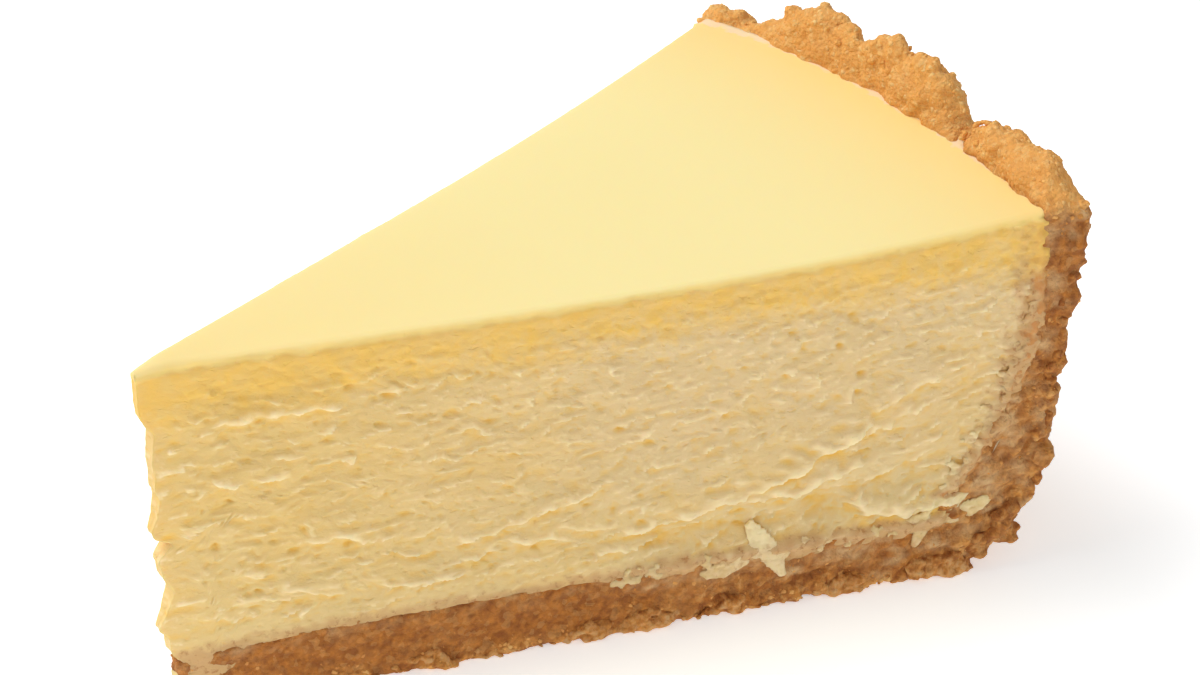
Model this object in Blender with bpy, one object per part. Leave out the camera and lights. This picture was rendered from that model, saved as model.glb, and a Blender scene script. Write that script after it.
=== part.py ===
"""A cut wedge of baked cheesecake: a firm filling on one crust of pressed biscuit crumbs.

Every length is in metres. The slice is worked out round the axis of the whole cake, which runs
up through the slice's tip: a point has a radius from that axis, a height above the table, and
an angle or a distance from one of the two cuts. At the end the slice is moved so that the
middle of its underside lies at the origin, with the tip towards -X and the rim towards +X.
"""

import math
import random

import bmesh
import bpy
from mathutils import Vector, noise

# The cut of the slice
WEDGE_ANGLE = math.radians(36.0)
HALF_ANGLE = WEDGE_ANGLE / 2.0
TIP_RADIUS = 0.0022
SLICE_MIDDLE = 0.0599
EDGE_OFFSETS = (0.0, 0.0007, 0.0015, 0.0027)

# The filling
FILLING_HEIGHT = 0.0462
NEAR_EDGE_RISE = 0.0032
FAR_EDGE_RISE = 0.0060
NEAR_RISE_POWER = 4.0
FAR_RISE_POWER = 2.0
RISE_STARTS = -0.8
TOP_EDGE_ROUND = 0.0019
TIP_ROUND_DROP = 0.0012
TIP_ROUND_LENGTH = 0.0032
FILLING_RADIUS = 0.1093
LAYER_GAP = 0.0003

# The section of the crust: flat base, rounded foot, leaning wall and crumbly rim
BASE_TIP_RADIUS = 0.0030
BASE_THICKNESS = 0.0082
FOOT_START = 0.0935
FOOT_REACH = 0.0201
FOOT_HEIGHT = 0.0160
INNER_REACH = 0.0172
INNER_HEIGHT = 0.0298
INNER_ROUNDNESS = 1.6
WALL_TOP = 0.0480
WALL_RADIUS = 0.1162
RIM_MIDDLE = 0.1129
RIM_HALF_THICKNESS = 0.0033
RIM_HEIGHT = 0.0532
RIM_END_DROP = 0.0030
RIM_END_WIDTH = math.radians(1.6)
FOOT_LIFT = 0.0016

# Crags of the rim: angle and half width in degrees, then the rise above the plain rim
RIM_CRAGS = (
    (6.4, 2.6, 0.0050),
    (-0.2, 3.4, 0.0058),
    (3.4, 0.9, -0.0016),
    (-5.9, 1.1, -0.0030),
    (-10.9, 2.4, 0.0026),
    (-14.3, 1.4, 0.0014),
    (15.6, 2.0, 0.0008),
)

# Relief of the cut filling: start and end (radius, height), half width, then the rise
CUT_TEARS = (
    ((0.0585, 0.0146), (0.0731, 0.0174), 0.0022, 0.0011),
    ((0.0731, 0.0174), (0.0878, 0.0224), 0.0022, 0.0013),
    ((0.0625, 0.0128), (0.0860, 0.0152), 0.0030, -0.0012),
    ((0.0905, 0.0136), (0.0985, 0.0100), 0.0030, 0.0010),
    ((0.0423, 0.0187), (0.0528, 0.0214), 0.0014, -0.0008),
    ((0.0115, 0.0385), (0.0226, 0.0385), 0.0014, 0.0007),
    ((0.0100, 0.0306), (0.0163, 0.0300), 0.0014, -0.0007),
)
FACE_ROUGHNESS = 0.0004
FACE_GRAIN = 0.0060
BAND_DEPTH = 0.0060
TIP_NOTCH = 0.0007
TIP_NOTCH_PITCH = 0.0050

# Roughness of the crumb crust
CRUST_ROUGHNESS = 0.0007
RIM_ROUGHNESS = 0.0013
CRUST_GRAIN = 0.0036
CRUMB_SEED = 11
RIM_CRUMBS = 24
WALL_CRUMBS = 12
EDGE_CRUMBS = 10
RIM_CRUMB_SIZE = (0.0014, 0.0025)
WALL_CRUMB_SIZE = (0.0012, 0.0020)
EDGE_CRUMB_SIZE = (0.0011, 0.0017)
CRUMB_UNEVENNESS = 0.13
CRUMB_STRETCH = (0.8, 1.25)
CRUMB_SINK = 0.55

# Cells of the two solids: along the section, across the wedge and through it
FILLING_CELLS = (40, 12, 14)
BASE_COLUMNS = 20
FOOT_COLUMNS = 8
INNER_FOOT_COLUMNS = 13
WALL_COLUMNS = 10
RIM_COLUMNS = 6
CRUST_ACROSS = 26
CRUST_LAYERS = 4

# Materials: colour, roughness and metallic value
FILLING_LOOK = ((0.83, 0.64, 0.29, 1.0), 0.52, 0.0)
CRUST_LOOK = ((0.52, 0.24, 0.09, 1.0), 0.85, 0.0)


def blend(start, end, share):
    """The value a share of the way from start to end."""
    return start + (end - start) * share


def smooth_step(value):
    """A soft step from 0 to 1."""
    held = min(max(value, 0.0), 1.0)
    return held * held * (3.0 - 2.0 * held)


def grain(point, size):
    """Smooth uneven noise between about -1 and 1, with lumps of the given size."""
    return noise.noise(Vector(point) / size)


def filling_top(radius, angle):
    """Height of the smooth top, dished a little up towards the rim."""
    across = angle / HALF_ANGLE
    share = smooth_step((across - RISE_STARTS) / (1.0 - RISE_STARTS))
    rise = blend(NEAR_EDGE_RISE, FAR_EDGE_RISE, share)
    power = blend(NEAR_RISE_POWER, FAR_RISE_POWER, share)
    top = FILLING_HEIGHT + rise * (radius / FILLING_RADIUS) ** power
    tip = max(0.0, 1.0 - (radius - TIP_RADIUS) / TIP_ROUND_LENGTH)
    return top - TIP_ROUND_DROP * tip * tip


def inner_foot(turn):
    """Point (radius, height) on the crust's inner corner, a quarter of a flattened ellipse."""
    power = 2.0 / INNER_ROUNDNESS
    radius = FOOT_START + INNER_REACH * max(math.sin(turn), 0.0) ** power
    height = BASE_THICKNESS + INNER_HEIGHT * (1.0 - max(math.cos(turn), 0.0) ** power)
    return radius, height


def outer_foot(turn):
    """Point (radius, height) on the crust's rounded outer corner."""
    radius = FOOT_START + FOOT_REACH * math.sin(turn)
    height = FOOT_HEIGHT * (1.0 - math.cos(turn))
    return radius, height


def crust_inner_radius(height):
    """Radius of the crust's inner side at a height above the base."""
    foot_top = BASE_THICKNESS + INNER_HEIGHT
    widest = FOOT_START + INNER_REACH
    if height >= foot_top:
        share = min(1.0, (height - foot_top) / (WALL_TOP - foot_top))
        return blend(widest, RIM_MIDDLE - RIM_HALF_THICKNESS, share)
    level = 1.0 - max(0.0, height - BASE_THICKNESS) / INNER_HEIGHT
    reach = (1.0 - level ** INNER_ROUNDNESS) ** (1.0 / INNER_ROUNDNESS)
    return FOOT_START + INNER_REACH * reach


def rim_height(angle):
    """Height of the rim's crest, with the crags, lower just beside each cut."""
    degrees = math.degrees(angle)
    height = RIM_HEIGHT
    for centre, half_width, rise in RIM_CRAGS:
        height += rise * math.exp(-((degrees - centre) / half_width) ** 2)
    from_cut = HALF_ANGLE - abs(angle)
    return height - RIM_END_DROP * math.exp(-(from_cut / RIM_END_WIDTH) ** 2)


def crust_section(angle):
    """Pairs of outer and inner points (radius, height), from the tip to the crest."""
    pairs = []
    for column in range(BASE_COLUMNS):
        radius = blend(BASE_TIP_RADIUS, FOOT_START, column / BASE_COLUMNS)
        pairs.append(((radius, 0.0), (radius, BASE_THICKNESS)))
    wall_start = outer_foot(math.pi / 2.0)
    inner_start = inner_foot(math.pi / 2.0)
    inner_end = (RIM_MIDDLE - RIM_HALF_THICKNESS, WALL_TOP)
    for column in range(FOOT_COLUMNS + WALL_COLUMNS + 1):
        if column <= FOOT_COLUMNS:
            outer = outer_foot(math.pi / 2.0 * column / FOOT_COLUMNS)
        else:
            share = (column - FOOT_COLUMNS) / WALL_COLUMNS
            outer = (blend(wall_start[0], WALL_RADIUS, share), blend(wall_start[1], WALL_TOP, share))
        if column <= INNER_FOOT_COLUMNS:
            inner = inner_foot(math.pi / 2.0 * column / INNER_FOOT_COLUMNS)
        else:
            left = FOOT_COLUMNS + WALL_COLUMNS - INNER_FOOT_COLUMNS
            share = (column - INNER_FOOT_COLUMNS) / left
            inner = (blend(inner_start[0], inner_end[0], share), blend(inner_start[1], inner_end[1], share))
        pairs.append((outer, inner))
    crest = rim_height(angle)
    for column in range(1, RIM_COLUMNS + 1):
        turn = math.pi / 2.0 * column / (RIM_COLUMNS + 0.6)
        reach = RIM_HALF_THICKNESS * math.cos(turn)
        height = blend(WALL_TOP, crest, math.sin(turn))
        pairs.append(((RIM_MIDDLE + reach, height), (RIM_MIDDLE - reach, height)))
    return pairs


def cut_offset(step, count, half_width):
    """Distance of a lattice line from its nearer cut, in finer steps beside the cut."""
    line = min(step, count - step)
    last = len(EDGE_OFFSETS) - 1
    squeeze = min(1.0, half_width / (2.0 * EDGE_OFFSETS[last]))
    if line <= last:
        return EDGE_OFFSETS[line] * squeeze
    share = (line - last) / (count / 2.0 - last)
    return blend(EDGE_OFFSETS[last] * squeeze, half_width, share)


def slice_point(radius, offset, side, height, relief):
    """The point at a distance from the cut on the given side, pushed out by the relief."""
    turn = HALF_ANGLE - math.asin(min(1.0, offset / radius))
    angle = side * max(turn, 0.0)
    outward = Vector((-math.sin(HALF_ANGLE), side * math.cos(HALF_ANGLE), 0.0))
    return Vector((radius * math.cos(angle), radius * math.sin(angle), height)) + outward * relief


def distance_to_line(point, start, end):
    """Distance from a point to a straight stretch, all in radius and height."""
    along = Vector(end) - Vector(start)
    offset = Vector(point) - Vector(start)
    share = min(max(offset.dot(along) / along.length_squared, 0.0), 1.0)
    return (offset - along * share).length


def filling_relief(radius, height, top, side):
    """How far the torn cut face of the filling stands out at a place."""
    below_band = smooth_step((top - height) / BAND_DEPTH)
    relief = FACE_ROUGHNESS * grain((radius, side, height), FACE_GRAIN) * below_band
    for start, end, half_width, rise in CUT_TEARS:
        distance = distance_to_line((radius, height), start, end)
        relief += rise * math.exp(-(distance / half_width) ** 2)
    bottom_share = smooth_step((height - BASE_THICKNESS) / FACE_GRAIN)
    return relief * blend(0.4, 1.0, bottom_share)


def lattice_block(cells):
    """A cube cut into cells, with its corners on whole numbers."""
    mesh = bmesh.new()
    bmesh.ops.create_cube(mesh, size=1.0)
    for axis, count in enumerate(cells):
        for vertex in mesh.verts:
            vertex.co[axis] = (vertex.co[axis] + 0.5) * count
        normal = Vector((0.0, 0.0, 0.0))
        normal[axis] = 1.0
        for step in range(1, count):
            everything = mesh.verts[:] + mesh.edges[:] + mesh.faces[:]
            bmesh.ops.bisect_plane(mesh, geom=everything, plane_co=normal * step, plane_no=normal)
    return mesh


def filling_vertex(along, across, up):
    """Place of one lattice corner of the filling."""
    columns, lines, rows = FILLING_CELLS
    bottom = BASE_THICKNESS + LAYER_GAP
    row_share = 1.0 - cut_offset(rows - up, 2 * rows, FILLING_HEIGHT) / FILLING_HEIGHT
    height = blend(bottom, FILLING_HEIGHT, row_share)
    back = min(crust_inner_radius(height - LAYER_GAP) - LAYER_GAP, FILLING_RADIUS)
    notch = TIP_NOTCH * grain((0.0, 0.0, height), TIP_NOTCH_PITCH)
    radius = blend(TIP_RADIUS + notch, back, along / columns)
    half_width = radius * math.sin(HALF_ANGLE)
    offset = cut_offset(across, lines, half_width)
    side = -1.0 if across < lines / 2 else 1.0
    angle = side * (HALF_ANGLE - math.asin(min(1.0, offset / radius)))
    top = filling_top(radius, angle)
    height = blend(bottom, top, row_share)
    rounding = min(TOP_EDGE_ROUND, 0.8 * half_width)
    inwards = max(0.0, 1.0 - offset / rounding)
    upwards = max(0.0, 1.0 - (top - height) / rounding)
    length = math.hypot(inwards, upwards)
    if inwards > 0.0 and upwards > 0.0:
        offset = rounding * (1.0 - inwards / length)
        height = top - rounding * (1.0 - upwards / length)
    on_cut = across in (0, lines)
    relief = filling_relief(radius, height, top, side) if on_cut else 0.0
    tip_share = smooth_step(half_width / (2.0 * EDGE_OFFSETS[-1]))
    return slice_point(radius, offset, side, height, relief * tip_share)


def crust_vertex(along, across, through):
    """Place of one lattice corner of the crust."""
    side = -1.0 if across < CRUST_ACROSS / 2 else 1.0
    line_share = abs(2.0 * across / CRUST_ACROSS - 1.0)
    outer, inner = crust_section(side * HALF_ANGLE * line_share)[along]
    share = through / CRUST_LAYERS
    radius = blend(outer[0], inner[0], share)
    height = blend(outer[1], inner[1], share)
    place = (radius, side * line_share * HALF_ANGLE * radius, height)
    rough = CRUST_ROUGHNESS * grain(place, CRUST_GRAIN)
    on_rim = along > BASE_COLUMNS + FOOT_COLUMNS + WALL_COLUMNS
    on_foot = along > BASE_COLUMNS
    if on_rim:
        rough = RIM_ROUGHNESS * grain(place, CRUST_GRAIN)
        radius = max(radius + rough, FILLING_RADIUS + 2.0 * LAYER_GAP)
        height += rough
    elif on_foot and through == 0:
        radius += rough
    offset = cut_offset(across, CRUST_ACROSS, radius * math.sin(HALF_ANGLE))
    on_cut = across in (0, CRUST_ACROSS)
    if through == 0 and (on_cut or along == 0):
        height += FOOT_LIFT * abs(grain(place, CRUST_GRAIN))
    relief = rough if on_cut else 0.0
    return slice_point(radius, offset, side, height, relief)


def solid_from_lattice(name, cells, place_vertex, look):
    """A closed solid: a lattice block with every corner moved to its place."""
    block = lattice_block(cells)
    for vertex in block.verts:
        along, across, up = (round(value) for value in vertex.co)
        vertex.co = place_vertex(along, across, up)
    return object_from_bmesh(name, block, look)


def object_from_bmesh(name, block, look):
    """Turn a bmesh into a named object with its own material."""
    mesh = bpy.data.meshes.new(name)
    block.to_mesh(mesh)
    block.free()
    mesh.shade_smooth()
    mesh.set_sharp_from_angle(angle=math.radians(50.0))
    if look is not None:
        mesh.materials.append(food_material(name, look))
    return bpy.data.objects.new(name, mesh)


def food_material(name, look):
    """A plain Principled material."""
    colour, roughness, metallic = look
    material = bpy.data.materials.new(name)
    material.use_nodes = True
    shader = material.node_tree.nodes["Principled BSDF"]
    shader.inputs["Base Color"].default_value = colour
    shader.inputs["Roughness"].default_value = roughness
    shader.inputs["Metallic"].default_value = metallic
    return material


def crumb(name, centre, size, draw):
    """One uneven crumb of biscuit."""
    block = bmesh.new()
    bmesh.ops.create_icosphere(block, subdivisions=2, radius=size)
    stretch = Vector([draw.uniform(*CRUMB_STRETCH) for axis in range(3)])
    for vertex in block.verts:
        vertex.co *= 1.0 + CRUMB_UNEVENNESS * draw.uniform(-1.0, 1.0)
        vertex.co = vertex.co * stretch + centre
    return object_from_bmesh(name, block, None)


def crumb_places(draw):
    """Centre and size of every crumb that stands out of the crust."""
    places = []
    for index in range(RIM_CRUMBS):
        share = (index + draw.uniform(0.2, 0.8)) / RIM_CRUMBS
        angle = blend(-0.93, 0.93, share) * HALF_ANGLE
        size = draw.uniform(*RIM_CRUMB_SIZE)
        radius = RIM_MIDDLE + draw.uniform(0.15, 0.9) * RIM_HALF_THICKNESS
        height = rim_height(angle) - CRUMB_SINK * size
        places.append((polar_point(radius, angle, height), size))
    wall_base = outer_foot(math.pi / 2.0)
    for index in range(WALL_CRUMBS):
        share = (index + draw.uniform(0.2, 0.8)) / WALL_CRUMBS
        angle = blend(-0.95, 0.95, share) * HALF_ANGLE
        size = draw.uniform(*WALL_CRUMB_SIZE)
        rise = draw.uniform(0.0, 1.0)
        radius = blend(wall_base[0], WALL_RADIUS, rise) - CRUMB_SINK * size
        places.append((polar_point(radius, angle, blend(wall_base[1], WALL_TOP, rise)), size))
    for index in range(EDGE_CRUMBS):
        share = (index + draw.uniform(0.1, 0.9)) / EDGE_CRUMBS
        size = draw.uniform(*EDGE_CRUMB_SIZE)
        radius = blend(0.22, 1.0, share) * FOOT_START
        side = draw.choice((-1.0, -1.0, 1.0))
        height = size * CRUMB_STRETCH[1] * (1.0 + CRUMB_UNEVENNESS) + draw.uniform(0.0002, 0.0020)
        places.append((slice_point(radius, 0.0, side, height, -CRUMB_SINK * size), size))
    return places


def polar_point(radius, angle, height):
    """A point from its radius, angle and height."""
    return Vector((radius * math.cos(angle), radius * math.sin(angle), height))


def fuse_crumbs(crust):
    """Join the crumbs to the crust with one union, and drop the loose crumb objects."""
    draw = random.Random(CRUMB_SEED)
    crumbs = bpy.data.collections.new("fused crumbs")
    bpy.context.scene.collection.children.link(crumbs)
    for index, (centre, size) in enumerate(crumb_places(draw)):
        crumbs.objects.link(crumb("crumb_%02d" % index, centre, size, draw))
    union = crust.modifiers.new("fused crumbs", "BOOLEAN")
    union.operation = "UNION"
    union.operand_type = "COLLECTION"
    union.collection = crumbs
    union.solver = "EXACT"
    apply_modifiers(crust)
    for loose in list(crumbs.objects):
        bpy.data.objects.remove(loose, do_unlink=True)
    bpy.data.collections.remove(crumbs)


def apply_modifiers(piece):
    """Replace a piece's mesh by its evaluated one."""
    bpy.context.view_layer.update()
    graph = bpy.context.evaluated_depsgraph_get()
    finished = bpy.data.meshes.new_from_object(piece.evaluated_get(graph))
    piece.modifiers.clear()
    piece.data = finished


def drop_loose_scraps(piece):
    """Keep only the largest connected body of a mesh."""
    block = bmesh.new()
    block.from_mesh(piece.data)
    waiting = set(block.verts)
    largest = set()
    while waiting:
        body = set()
        edge_of_search = [waiting.pop()]
        while edge_of_search:
            vertex = edge_of_search.pop()
            body.add(vertex)
            for edge in vertex.link_edges:
                other = edge.other_vert(vertex)
                if other in waiting:
                    waiting.remove(other)
                    edge_of_search.append(other)
        largest = body if len(body) > len(largest) else largest
    scraps = [vertex for vertex in block.verts if vertex not in largest]
    bmesh.ops.delete(block, geom=scraps, context="VERTS")
    block.to_mesh(piece.data)
    block.free()


def move_to_origin(piece):
    """Put the middle of the slice's underside at the origin."""
    for vertex in piece.data.vertices:
        vertex.co.x -= SLICE_MIDDLE


def build():
    """Make the filling and the crust that holds it."""
    for old in list(bpy.data.objects):
        bpy.data.objects.remove(old, do_unlink=True)
    slice_parts = bpy.data.collections.new("baked cheesecake slice")
    bpy.context.scene.collection.children.link(slice_parts)
    filling = solid_from_lattice("filling", FILLING_CELLS, filling_vertex, FILLING_LOOK)
    slice_parts.objects.link(filling)
    columns = BASE_COLUMNS + FOOT_COLUMNS + WALL_COLUMNS + RIM_COLUMNS
    crust_cells = (columns, CRUST_ACROSS, CRUST_LAYERS)
    crust = solid_from_lattice("crumb_crust", crust_cells, crust_vertex, CRUST_LOOK)
    slice_parts.objects.link(crust)
    fuse_crumbs(crust)
    drop_loose_scraps(crust)
    move_to_origin(filling)
    move_to_origin(crust)


build()
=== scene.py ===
"""Looks of a baked cheesecake slice: torn creamy filling in a crust of pressed biscuit crumbs.

The slice is worked out round the axis of the whole cake, which runs up through the slice's tip.
A place on it has a radius from that axis, a height above the floor and an angle, or a distance
from one of the two cuts. Shape functions take and give metres; small relief is in millimetres.
"""

import math
import random

import bmesh
import bpy
import numpy as np
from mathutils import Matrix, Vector, noise


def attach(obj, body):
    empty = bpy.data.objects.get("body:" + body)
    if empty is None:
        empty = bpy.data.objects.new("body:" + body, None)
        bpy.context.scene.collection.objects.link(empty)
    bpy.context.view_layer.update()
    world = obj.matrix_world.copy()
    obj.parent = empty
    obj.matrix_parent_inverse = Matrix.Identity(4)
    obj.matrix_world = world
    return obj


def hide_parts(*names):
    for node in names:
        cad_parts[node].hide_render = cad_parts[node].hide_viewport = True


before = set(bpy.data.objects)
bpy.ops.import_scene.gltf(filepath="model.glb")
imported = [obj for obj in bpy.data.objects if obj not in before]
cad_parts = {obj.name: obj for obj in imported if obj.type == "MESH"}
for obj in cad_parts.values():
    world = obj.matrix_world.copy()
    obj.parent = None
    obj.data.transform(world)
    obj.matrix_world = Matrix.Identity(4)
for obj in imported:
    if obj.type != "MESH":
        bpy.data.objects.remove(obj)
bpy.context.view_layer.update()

bl_info = {
    "name": "Baked cheesecake slice",
    "version": (1, 0, 0),
    "blender": (4, 5, 0),
    "location": "3D View > Sidebar > Cheesecake",
    "description": "Dresses a wedge of baked cheesecake with torn filling, crumb crust and crumbs",
    "category": "Object",
}

MM = 0.001

# The cut of the slice, as in the solids
HALF_ANGLE = math.radians(18.0)
TIP_RADIUS = 0.0022
SLICE_MIDDLE = 0.0599

# The smooth top of the filling
FILLING_HEIGHT = 0.0462
NEAR_EDGE_RISE = 0.0032
FAR_EDGE_RISE = 0.0060
NEAR_RISE_POWER = 4.0
FAR_RISE_POWER = 2.0
RISE_STARTS = -0.8
TOP_EDGE_ROUND = 0.0014
TIP_ROUND_DROP = 0.0005
FAR_BULGE = 0.0007
FAR_EDGE_ROUND = 0.0009
TIP_ROUND_LENGTH = 0.0034
FILLING_RADIUS = 0.1093
BAND_DEPTH = 0.0055

# The section of the crust: flat base, rounded foot, leaning wall and crumbly rim
BASE_TIP_RADIUS = 0.0032
BASE_THICKNESS = 0.0086
BASE_TIP_THINNING = 0.0017
BASE_TIP_LENGTH = 0.0080
FOOT_START = 0.0935
FOOT_REACH = 0.0199
FOOT_HEIGHT = 0.0160
INNER_REACH = 0.0172
INNER_HEIGHT = 0.0298
INNER_ROUNDNESS = 1.6
WALL_TOP = 0.0480
WALL_RADIUS = 0.1161
RIM_MIDDLE = 0.1128
RIM_HALF_THICKNESS = 0.0031
RIM_HEIGHT = 0.0528
FOOT_LIFT = 0.0016

# How far above the floor the lowest crumbs end
LEAST_LIFT = 0.00002

# Crags of the rim: angle and half width in degrees, then the rise above the plain rim
RIM_CRAGS = (
    (7.0, 3.2, 0.0048), (4.0, 0.9, -0.0008), (-0.2, 4.0, 0.0055), (-0.3, 0.9, -0.0014),
    (-5.6, 1.3, -0.0035), (-10.3, 2.6, 0.0010), (-13.3, 1.0, 0.0009), (-18.7, 2.9, -0.0041),
)

# Crumb clusters along the bottom of the near cut: radius and half width in millimetres
BOTTOM_CLUSTERS = ((33.5, 2.2), (54.0, 2.6), (60.5, 2.8), (72.0, 1.8), (86.0, 2.4), (101.0, 3.0))

# Lattice of the filling: columns from tip to wall, lines across and rows up the cut
FILLING_CELLS = (336, 14, 124)
EDGE_OFFSETS = (0.0, 0.0004, 0.0009, 0.0016, 0.0026)

# Lattice of the crust's core, before its crumbs are pressed on
BASE_COLUMNS = 40
FOOT_COLUMNS = 14
INNER_FOOT_COLUMNS = 22
WALL_COLUMNS = 18
RIM_COLUMNS = 8
CRUST_ACROSS = 48
CRUST_LAYERS = 6

# Soft lights: name, place, width in metres and power in watts; then the strength of the pale sky
LIGHTS = (
    ("key light", (-0.30, 0.42, 0.75), 0.7, 7.0),
    ("front fill", (-0.35, -0.75, 0.55), 0.9, 1.9),
)
LIGHT_TARGET = (0.0, 0.0, 0.02)
SKY_STRENGTH = 0.36

# Width of the camera's sensor in millimetres
SENSOR_WIDTH = 36.0


def colour_setting(name, description, colour):
    """A colour for a settings group, given as red, green and blue."""
    return bpy.props.FloatVectorProperty(
        name=name, description=description, subtype="COLOR", size=4, min=0.0, max=1.0,
        default=(*colour, 1.0))


def length_setting(name, description, default, least, most):
    """A length in metres for a settings group."""
    return bpy.props.FloatProperty(
        name=name, description=description, unit="LENGTH", default=default, min=least, max=most)


class FillingSettings(bpy.types.PropertyGroup):
    """Sizes and colours of the filling."""

    lip_depth: bpy.props.FloatProperty(
        name="Lip depth", description="Depth of the drooping lips of the torn cut, in millimetres",
        default=0.62, min=0.0, max=2.0)
    lip_pitch: bpy.props.FloatProperty(
        name="Lip pitch", description="Height from one torn lip to the next, in millimetres",
        default=2.5, min=0.5, max=10.0)
    pit_depth: bpy.props.FloatProperty(
        name="Pit depth", description="Depth of the small pores in the cut, in millimetres",
        default=0.50, min=0.0, max=2.0)
    grain_depth: bpy.props.FloatProperty(
        name="Grain depth", description="Depth of the fine grain of the cut, in millimetres",
        default=0.15, min=0.0, max=1.0)
    wall_flakes: bpy.props.IntProperty(
        name="Wall flakes", description="Torn flakes along the crust's wall on each cut",
        default=130, min=0)
    base_flakes: bpy.props.IntProperty(
        name="Base flakes", description="Torn flakes along the base on each cut",
        default=110, min=0)
    flake_voxel: length_setting(
        "Flake voxel", "Finest detail of the torn flakes", 0.00024, 0.0001, 0.005)
    flake_seed: bpy.props.IntProperty(
        name="Flake seed", description="Seed of the flakes' places", default=12, min=0)
    top_colour: colour_setting(
        "Top colour", "Colour of the smooth baked top", (0.96, 0.80, 0.37))
    rim_side_colour: colour_setting(
        "Top colour by the rim", "Deeper colour of the top beside the crust", (0.97, 0.70, 0.265))
    dried_colour: colour_setting(
        "Dried colour", "Pale dried line of the top along the crust", (0.97, 0.70, 0.42))
    band_colour: colour_setting(
        "Band colour", "Golden band just under the top edge", (0.90, 0.56, 0.12))
    # Painted highlight: a bright golden line along the rounded top edge
    edge_highlight_colour: colour_setting(
        "Edge colour", "Bright golden line of the rounded top edge", (1.0, 0.72, 0.24))
    cut_colour: colour_setting(
        "Cut colour", "Colour of the torn cut", (0.785, 0.58, 0.295))
    tip_colour: colour_setting(
        "Tip colour", "More golden colour of the cut by the tip", (0.82, 0.55, 0.15))
    # Painted shade: a deeper golden colour laid into the hollows and pores of the cut
    pit_shade_colour: colour_setting(
        "Pit colour", "Golden colour deep in the pores", (0.86, 0.53, 0.105))
    # Painted highlight: a paler colour on the raised lips of the cut; the flakes take it as their pale tone
    lip_highlight_colour: colour_setting(
        "Lip colour", "Pale colour of the raised lips", (0.97, 0.77, 0.44))
    low_colour: colour_setting(
        "Low colour", "Lemon cream colour low on the cut", (0.81, 0.615, 0.285))
    fringe_colour: colour_setting(
        "Fringe colour", "Dull cream of the cut where it meets the crust", (0.63, 0.37, 0.155))
    covered_colour: colour_setting(
        "Covered colour", "Brown of the crumb that covers the cut by the wall", (0.62, 0.27, 0.075))
    speck_colour: colour_setting(
        "Speck colour", "Brown specks of crumb dragged into the fringe", (0.48, 0.22, 0.07))


class CrustSettings(bpy.types.PropertyGroup):
    """Sizes and colours of the crumb crust."""

    voxel: length_setting(
        "Voxel", "Finest detail of the pressed crumbs", 0.00049, 0.0002, 0.005)
    granules: bpy.props.FloatProperty(
        name="Granules", description="Pressed granules on each square metre of crust",
        default=650000.0, min=0.0, max=5000000.0)
    granule_least: length_setting(
        "Least granule", "Radius of the smallest pressed granule", 0.0005, 0.0001, 0.01)
    granule_most: length_setting(
        "Largest granule", "Radius of the largest pressed granule", 0.0016, 0.0001, 0.01)
    cut_colour: colour_setting(
        "Cut colour", "Brown of the cut crumbs", (0.66, 0.245, 0.043))
    # Laid on by random mottle and by the shade number, which holds painted shade where the rim meets the
    # filling
    dark_colour: colour_setting(
        "Dark colour", "Dark brown between the crumbs", (0.355, 0.114, 0.022))
    rim_colour: colour_setting(
        "Rim colour", "Golden brown of the baked rim", (1.0, 0.475, 0.118))
    pale_colour: colour_setting(
        "Pale crumb colour", "Pale gold of the lightest crumbs", (1.0, 0.63, 0.235))
    light_colour: colour_setting(
        "Light colour", "Lighter patches of the cut crumbs", (0.75, 0.36, 0.112))
    smear_colour: colour_setting(
        "Smear colour", "Film of filling dragged over the cut crust", (0.80, 0.505, 0.235))


class CrumbSettings(bpy.types.PropertyGroup):
    """Sizes of the small crumbs that stick to the crust."""

    density: bpy.props.FloatProperty(
        name="Crumbs", description="Small crumbs on each square metre of crust",
        default=2300000.0, min=0.0, max=5000000.0)
    least: length_setting(
        "Least crumb", "Radius of the smallest crumb", 0.00014, 0.00005, 0.01)
    most: length_setting(
        "Largest crumb", "Radius of the largest crumb", 0.00042, 0.00005, 0.01)
    seed: bpy.props.IntProperty(
        name="Seed", description="Seed of the crumbs' places", default=4, min=0)
    clump_share: bpy.props.FloatProperty(
        name="Clump share", description="Granules in each clump, for each millimetre of its width",
        default=18.0, min=0.0, max=60.0)
    edge_granules: bpy.props.IntProperty(
        name="Edge granules", description="Granules along each broken edge of the crust",
        default=170, min=0)
    clump_voxel: length_setting(
        "Clump voxel", "Finest detail of the clumps", 0.00027, 0.0001, 0.005)


class StageSettings(bpy.types.PropertyGroup):
    """Camera and floor."""

    azimuth: bpy.props.FloatProperty(
        name="Azimuth", description="Direction the camera stands in", subtype="ANGLE",
        default=math.radians(-35.48))
    elevation: bpy.props.FloatProperty(
        name="Elevation", description="Height of the camera as an angle", subtype="ANGLE",
        default=math.radians(28.63))
    distance: bpy.props.FloatProperty(
        name="Distance", description="From the camera to the point it looks at",
        unit="LENGTH", default=0.3738, min=0.05)
    aim: bpy.props.FloatVectorProperty(
        name="Aim", description="Point that the camera looks at", subtype="XYZ",
        unit="LENGTH", size=3, default=(0.0364, 0.0456, 0.0))
    lens: bpy.props.FloatProperty(
        name="Lens", description="Focal length in millimetres on a 36 mm sensor",
        default=75.0, min=10.0)
    floor_reach: bpy.props.FloatProperty(
        name="Floor reach", description="Half width of the pale floor", unit="LENGTH",
        default=3.0, min=0.2)


def blend(start, end, share):
    """The value a share of the way from start to end."""
    return start + (end - start) * share


def smooth_step(value):
    """A soft step from 0 to 1."""
    share = min(max(value, 0.0), 1.0)
    return share * share * (3.0 - 2.0 * share)


def held(value, most=1.0):
    """A value kept between 0 and the most it may be."""
    return min(most, max(0.0, value))


def grain(x, y, z):
    """Smooth uneven noise between about -1 and 1."""
    return noise.noise(Vector((x, y, z)))


# Shape of the slice


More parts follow.
